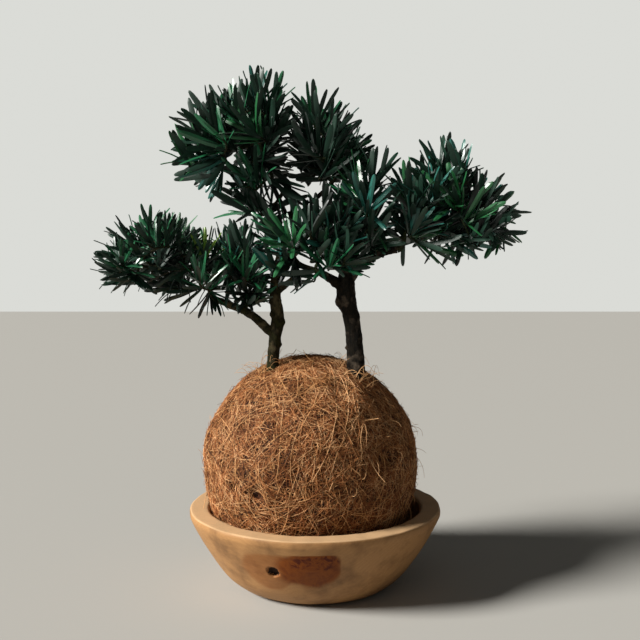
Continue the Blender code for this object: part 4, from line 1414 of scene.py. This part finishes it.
MASSES = (
    Mass("left_outer_mass", "left_bough",
         (Lobe((-0.169, -0.032, 0.317), (0.045, 0.050, 0.057, 0.031), 7, -0.3),
          Lobe((-0.138, -0.024, 0.311), (0.042, 0.054, 0.061, 0.031), 6),
          Lobe((-0.104, -0.030, 0.307), (0.038, 0.050, 0.055, 0.044), 6, -0.5),
          Lobe((-0.161, 0.028, 0.324), (0.049, 0.048, 0.049, 0.033), 5)),
         0.0335, 11, 1.0, (-0.103, -0.040, 0.327), 0.0148, more=1.7,
         shown=(((-0.157, -0.030, 0.348), (0.05, -0.1, 1.0)), ((-0.183, -0.035, 0.325), (-1.0, -0.1, 0.12)),
                ((-0.180, -0.020, 0.339), (-0.6, 0.0, 0.8)), ((-0.140, -0.045, 0.340), (0.3, -0.3, 1.0)),
                ((-0.174, -0.045, 0.309), (-0.8, -0.2, -0.25)))),
    Mass("left_inner_mass", "left_bough",
         (Lobe((-0.070, -0.024, 0.313), (0.039, 0.050, 0.050, 0.044), 9, -0.4),
          Lobe((-0.093, 0.030, 0.319), (0.049, 0.046, 0.043, 0.031), 6)),
         0.0345, 23, 0.55, None, 0.0148, more=1.8,
         shown=(((-0.066, -0.045, 0.333), (0.2, -0.3, 1.0)), ((-0.085, -0.040, 0.302), (-0.1, -0.3, -0.9)))),
    Mass("middle_mass", "middle_bough",
         (Lobe((-0.016, -0.036, 0.319), (0.034, 0.038, 0.038, 0.029), 5, -0.5),
          Lobe((-0.021, -0.036, 0.334), (0.047, 0.048, 0.053, 0.038), 9, -0.3),
          Lobe((0.020, -0.048, 0.339), (0.045, 0.054, 0.054, 0.041), 9)),
         0.044, 42, 1.0, None, 0.0185,
         shown=(((0.007, -0.055, 0.356), (0.15, -0.2, 1.0)), ((-0.037, -0.050, 0.350), (-0.75, -0.15, 0.65)),
                ((-0.020, -0.060, 0.332), (-0.3, -0.8, 0.5)), ((0.030, -0.070, 0.345), (0.5, -0.5, 0.6)))),
    Mass("right_inner_mass", "right_trunk",
         (Lobe((0.051, -0.036, 0.349), (0.044, 0.054, 0.083, 0.030), 9, -0.2),
          Lobe((0.046, 0.022, 0.352), (0.047, 0.048, 0.075, 0.026), 6)),
         0.045, 53, 1.0, None, 0.0185, more=1.25,
         shown=(((0.062, -0.040, 0.396), (0.2, -0.1, 1.0)), ((0.037, -0.050, 0.392), (-0.55, -0.15, 0.8)),
                ((0.048, -0.066, 0.362), (-0.1, -0.7, 0.6)))),
    Mass("right_outer_mass", "right_bough",
         (Lobe((0.087, -0.034, 0.349), (0.040, 0.052, 0.068, 0.036), 7),
          Lobe((0.120, -0.030, 0.351), (0.044, 0.052, 0.096, 0.038), 9, -0.4),
          Lobe((0.154, -0.030, 0.355), (0.050, 0.050, 0.060, 0.033), 8, -0.4),
          Lobe((0.124, 0.026, 0.360), (0.059, 0.048, 0.075, 0.035), 7)),
         0.045, 64, 1.0, None, 0.0200, more=1.2,
         shown=(((0.120, -0.032, 0.407), (0.0, -0.05, 1.0)), ((0.131, -0.020, 0.398), (0.45, 0.0, 0.9)),
                ((0.153, -0.034, 0.375), (0.3, -0.1, 1.0)), ((0.164, -0.030, 0.362), (0.9, 0.0, 0.5)),
                ((0.166, -0.036, 0.345), (1.0, -0.1, 0.05)), ((0.087, -0.036, 0.380), (-0.1, -0.1, 1.0)),
                ((0.142, -0.060, 0.352), (0.4, -0.7, 0.4)))),
    Mass("top_left_mass", "left_trunk",
         (Lobe((-0.051, -0.012, 0.429), (0.043, 0.052, 0.080, 0.033), 8),
          Lobe((-0.092, -0.014, 0.427), (0.054, 0.050, 0.065, 0.060), 10, -0.6),
          Lobe((-0.071, 0.034, 0.438), (0.055, 0.044, 0.071, 0.047), 6),
          Lobe((-0.039, -0.018, 0.375), (0.037, 0.042, 0.040, 0.038), 4, -0.3)),
         0.047, 75, 1.0, None, 0.0205,
         shown=(((-0.096, -0.030, 0.434), (-1.0, -0.1, 0.15)), ((-0.095, -0.020, 0.449), (-0.55, 0.0, 0.9)),
                ((-0.057, -0.018, 0.472), (0.0, 0.0, 1.0)), ((-0.076, -0.025, 0.458), (-0.3, -0.1, 1.0)),
                ((-0.085, -0.034, 0.412), (-0.6, -0.2, -0.75)), ((-0.040, -0.020, 0.468), (0.35, -0.1, 1.0)),
                ((-0.085, -0.050, 0.432), (-0.6, -0.6, 0.4)))),
    Mass("top_right_mass", "top_right_bough",
         (Lobe((0.005, -0.018, 0.419), (0.038, 0.048, 0.076, 0.031), 7),
          Lobe((0.027, -0.006, 0.413), (0.033, 0.044, 0.056, 0.027), 5, -0.3),
          Lobe((0.007, 0.032, 0.428), (0.045, 0.044, 0.067, 0.030), 6)),
         0.044, 86, 1.0, None, 0.0195,
         shown=(((-0.002, -0.020, 0.456), (-0.05, -0.05, 1.0)), ((0.015, -0.020, 0.443), (0.7, -0.1, 0.7)),
                ((0.024, -0.012, 0.426), (1.0, -0.1, 0.25)))),
)


# The studio


@dataclass
class Studio:
    """A pale floor, plain soft light with a window's worth from the left, and the photograph's camera."""

    camera_at: tuple[float, float, float] = (0.00522, -0.84582, 0.30779)
    pitch_down: float = 3.1413
    focal_share: float = 850 / 640
    floor_tone: str = "#aaa8a3"
    world_tone: str = "#e3e4df"
    world_strength: float = 0.09
    wall_strength: float = 0.92

    def floor(self) -> None:
        """Lays the floor."""
        material, _, shader, _ = new_material("pale_studio_floor")
        shader.inputs["Base Color"].default_value = linear(self.floor_tone)
        shader.inputs["Roughness"].default_value = 0.8
        far = 6.0
        floor = mesh_object("studio_floor", [(-far, -far, 0), (far, -far, 0), (far, far, 0), (-far, far, 0)],
                            [(0, 1, 2, 3)], material)

    def lamp(self, name: str, towards: tuple[float, float, float], softness: float, strength: float,
             tone: str) -> None:
        """Sets a broad, distant lamp, soft as a window, that lights floor and plant alike.

        Args:
            name: the lamp's name.
            towards: the direction in which the lamp lies.
            softness: the angle that it fills, in degrees.
            strength: its strength.
            tone: its colour.
        """
        light = bpy.data.lights.new(name, "SUN")
        light.energy, light.angle = strength, math.radians(softness)
        light.color = linear(tone)[:3]
        lamp = bpy.data.objects.new(name, light)
        bpy.context.scene.collection.objects.link(lamp)
        lamp.rotation_euler = Vector(towards).to_track_quat("Z", "Y").to_euler()

    def build(self) -> None:
        """Sets up the floor, the light, the world and the camera."""
        scene = bpy.context.scene
        self.floor()
        self.lamp("window", (-1.0, -0.33, 0.62), 18.0, 7.3, "#fffdf8")
        self.lamp("room", (0.1, -1.0, 0.6), 70.0, 0.12, "#fff6ea")
        world = bpy.data.worlds.new("pale_room")
        world.use_nodes = True
        tree = world.node_tree
        seen = add(tree, "ShaderNodeLightPath").outputs["Is Camera Ray"]
        strength = add(tree, "ShaderNodeMapRange", {"Value": seen, "To Min": self.world_strength,
                                                    "To Max": self.wall_strength})
        ground = tree.nodes["Background"]
        ground.inputs["Color"].default_value = linear(self.world_tone)
        tree.links.new(strength.outputs[0], ground.inputs["Strength"])
        scene.world = world
        scene.view_settings.view_transform = "Standard"
        camera = bpy.data.cameras.new("photo_camera")
        camera.sensor_width = 36.0
        camera.lens = self.focal_share * 36.0
        camera.clip_start = 0.02
        eye = bpy.data.objects.new("photo_camera", camera)
        scene.collection.objects.link(eye)
        eye.location = self.camera_at
        eye.rotation_euler = (math.radians(90 - self.pitch_down), 0.0, 0.0)
        scene.camera = eye


def main() -> None:
    """Builds the studio and every part of the plant, and reports each piece."""
    logging.basicConfig(level=logging.INFO, format="%(name)s %(message)s")
    Studio().build()
    Bowl().build()
    CoirBall().build()
    for limb in LIMBS:
        limb.build()
    Crown(MASSES).build()


if __name__ == "__main__":
    main()
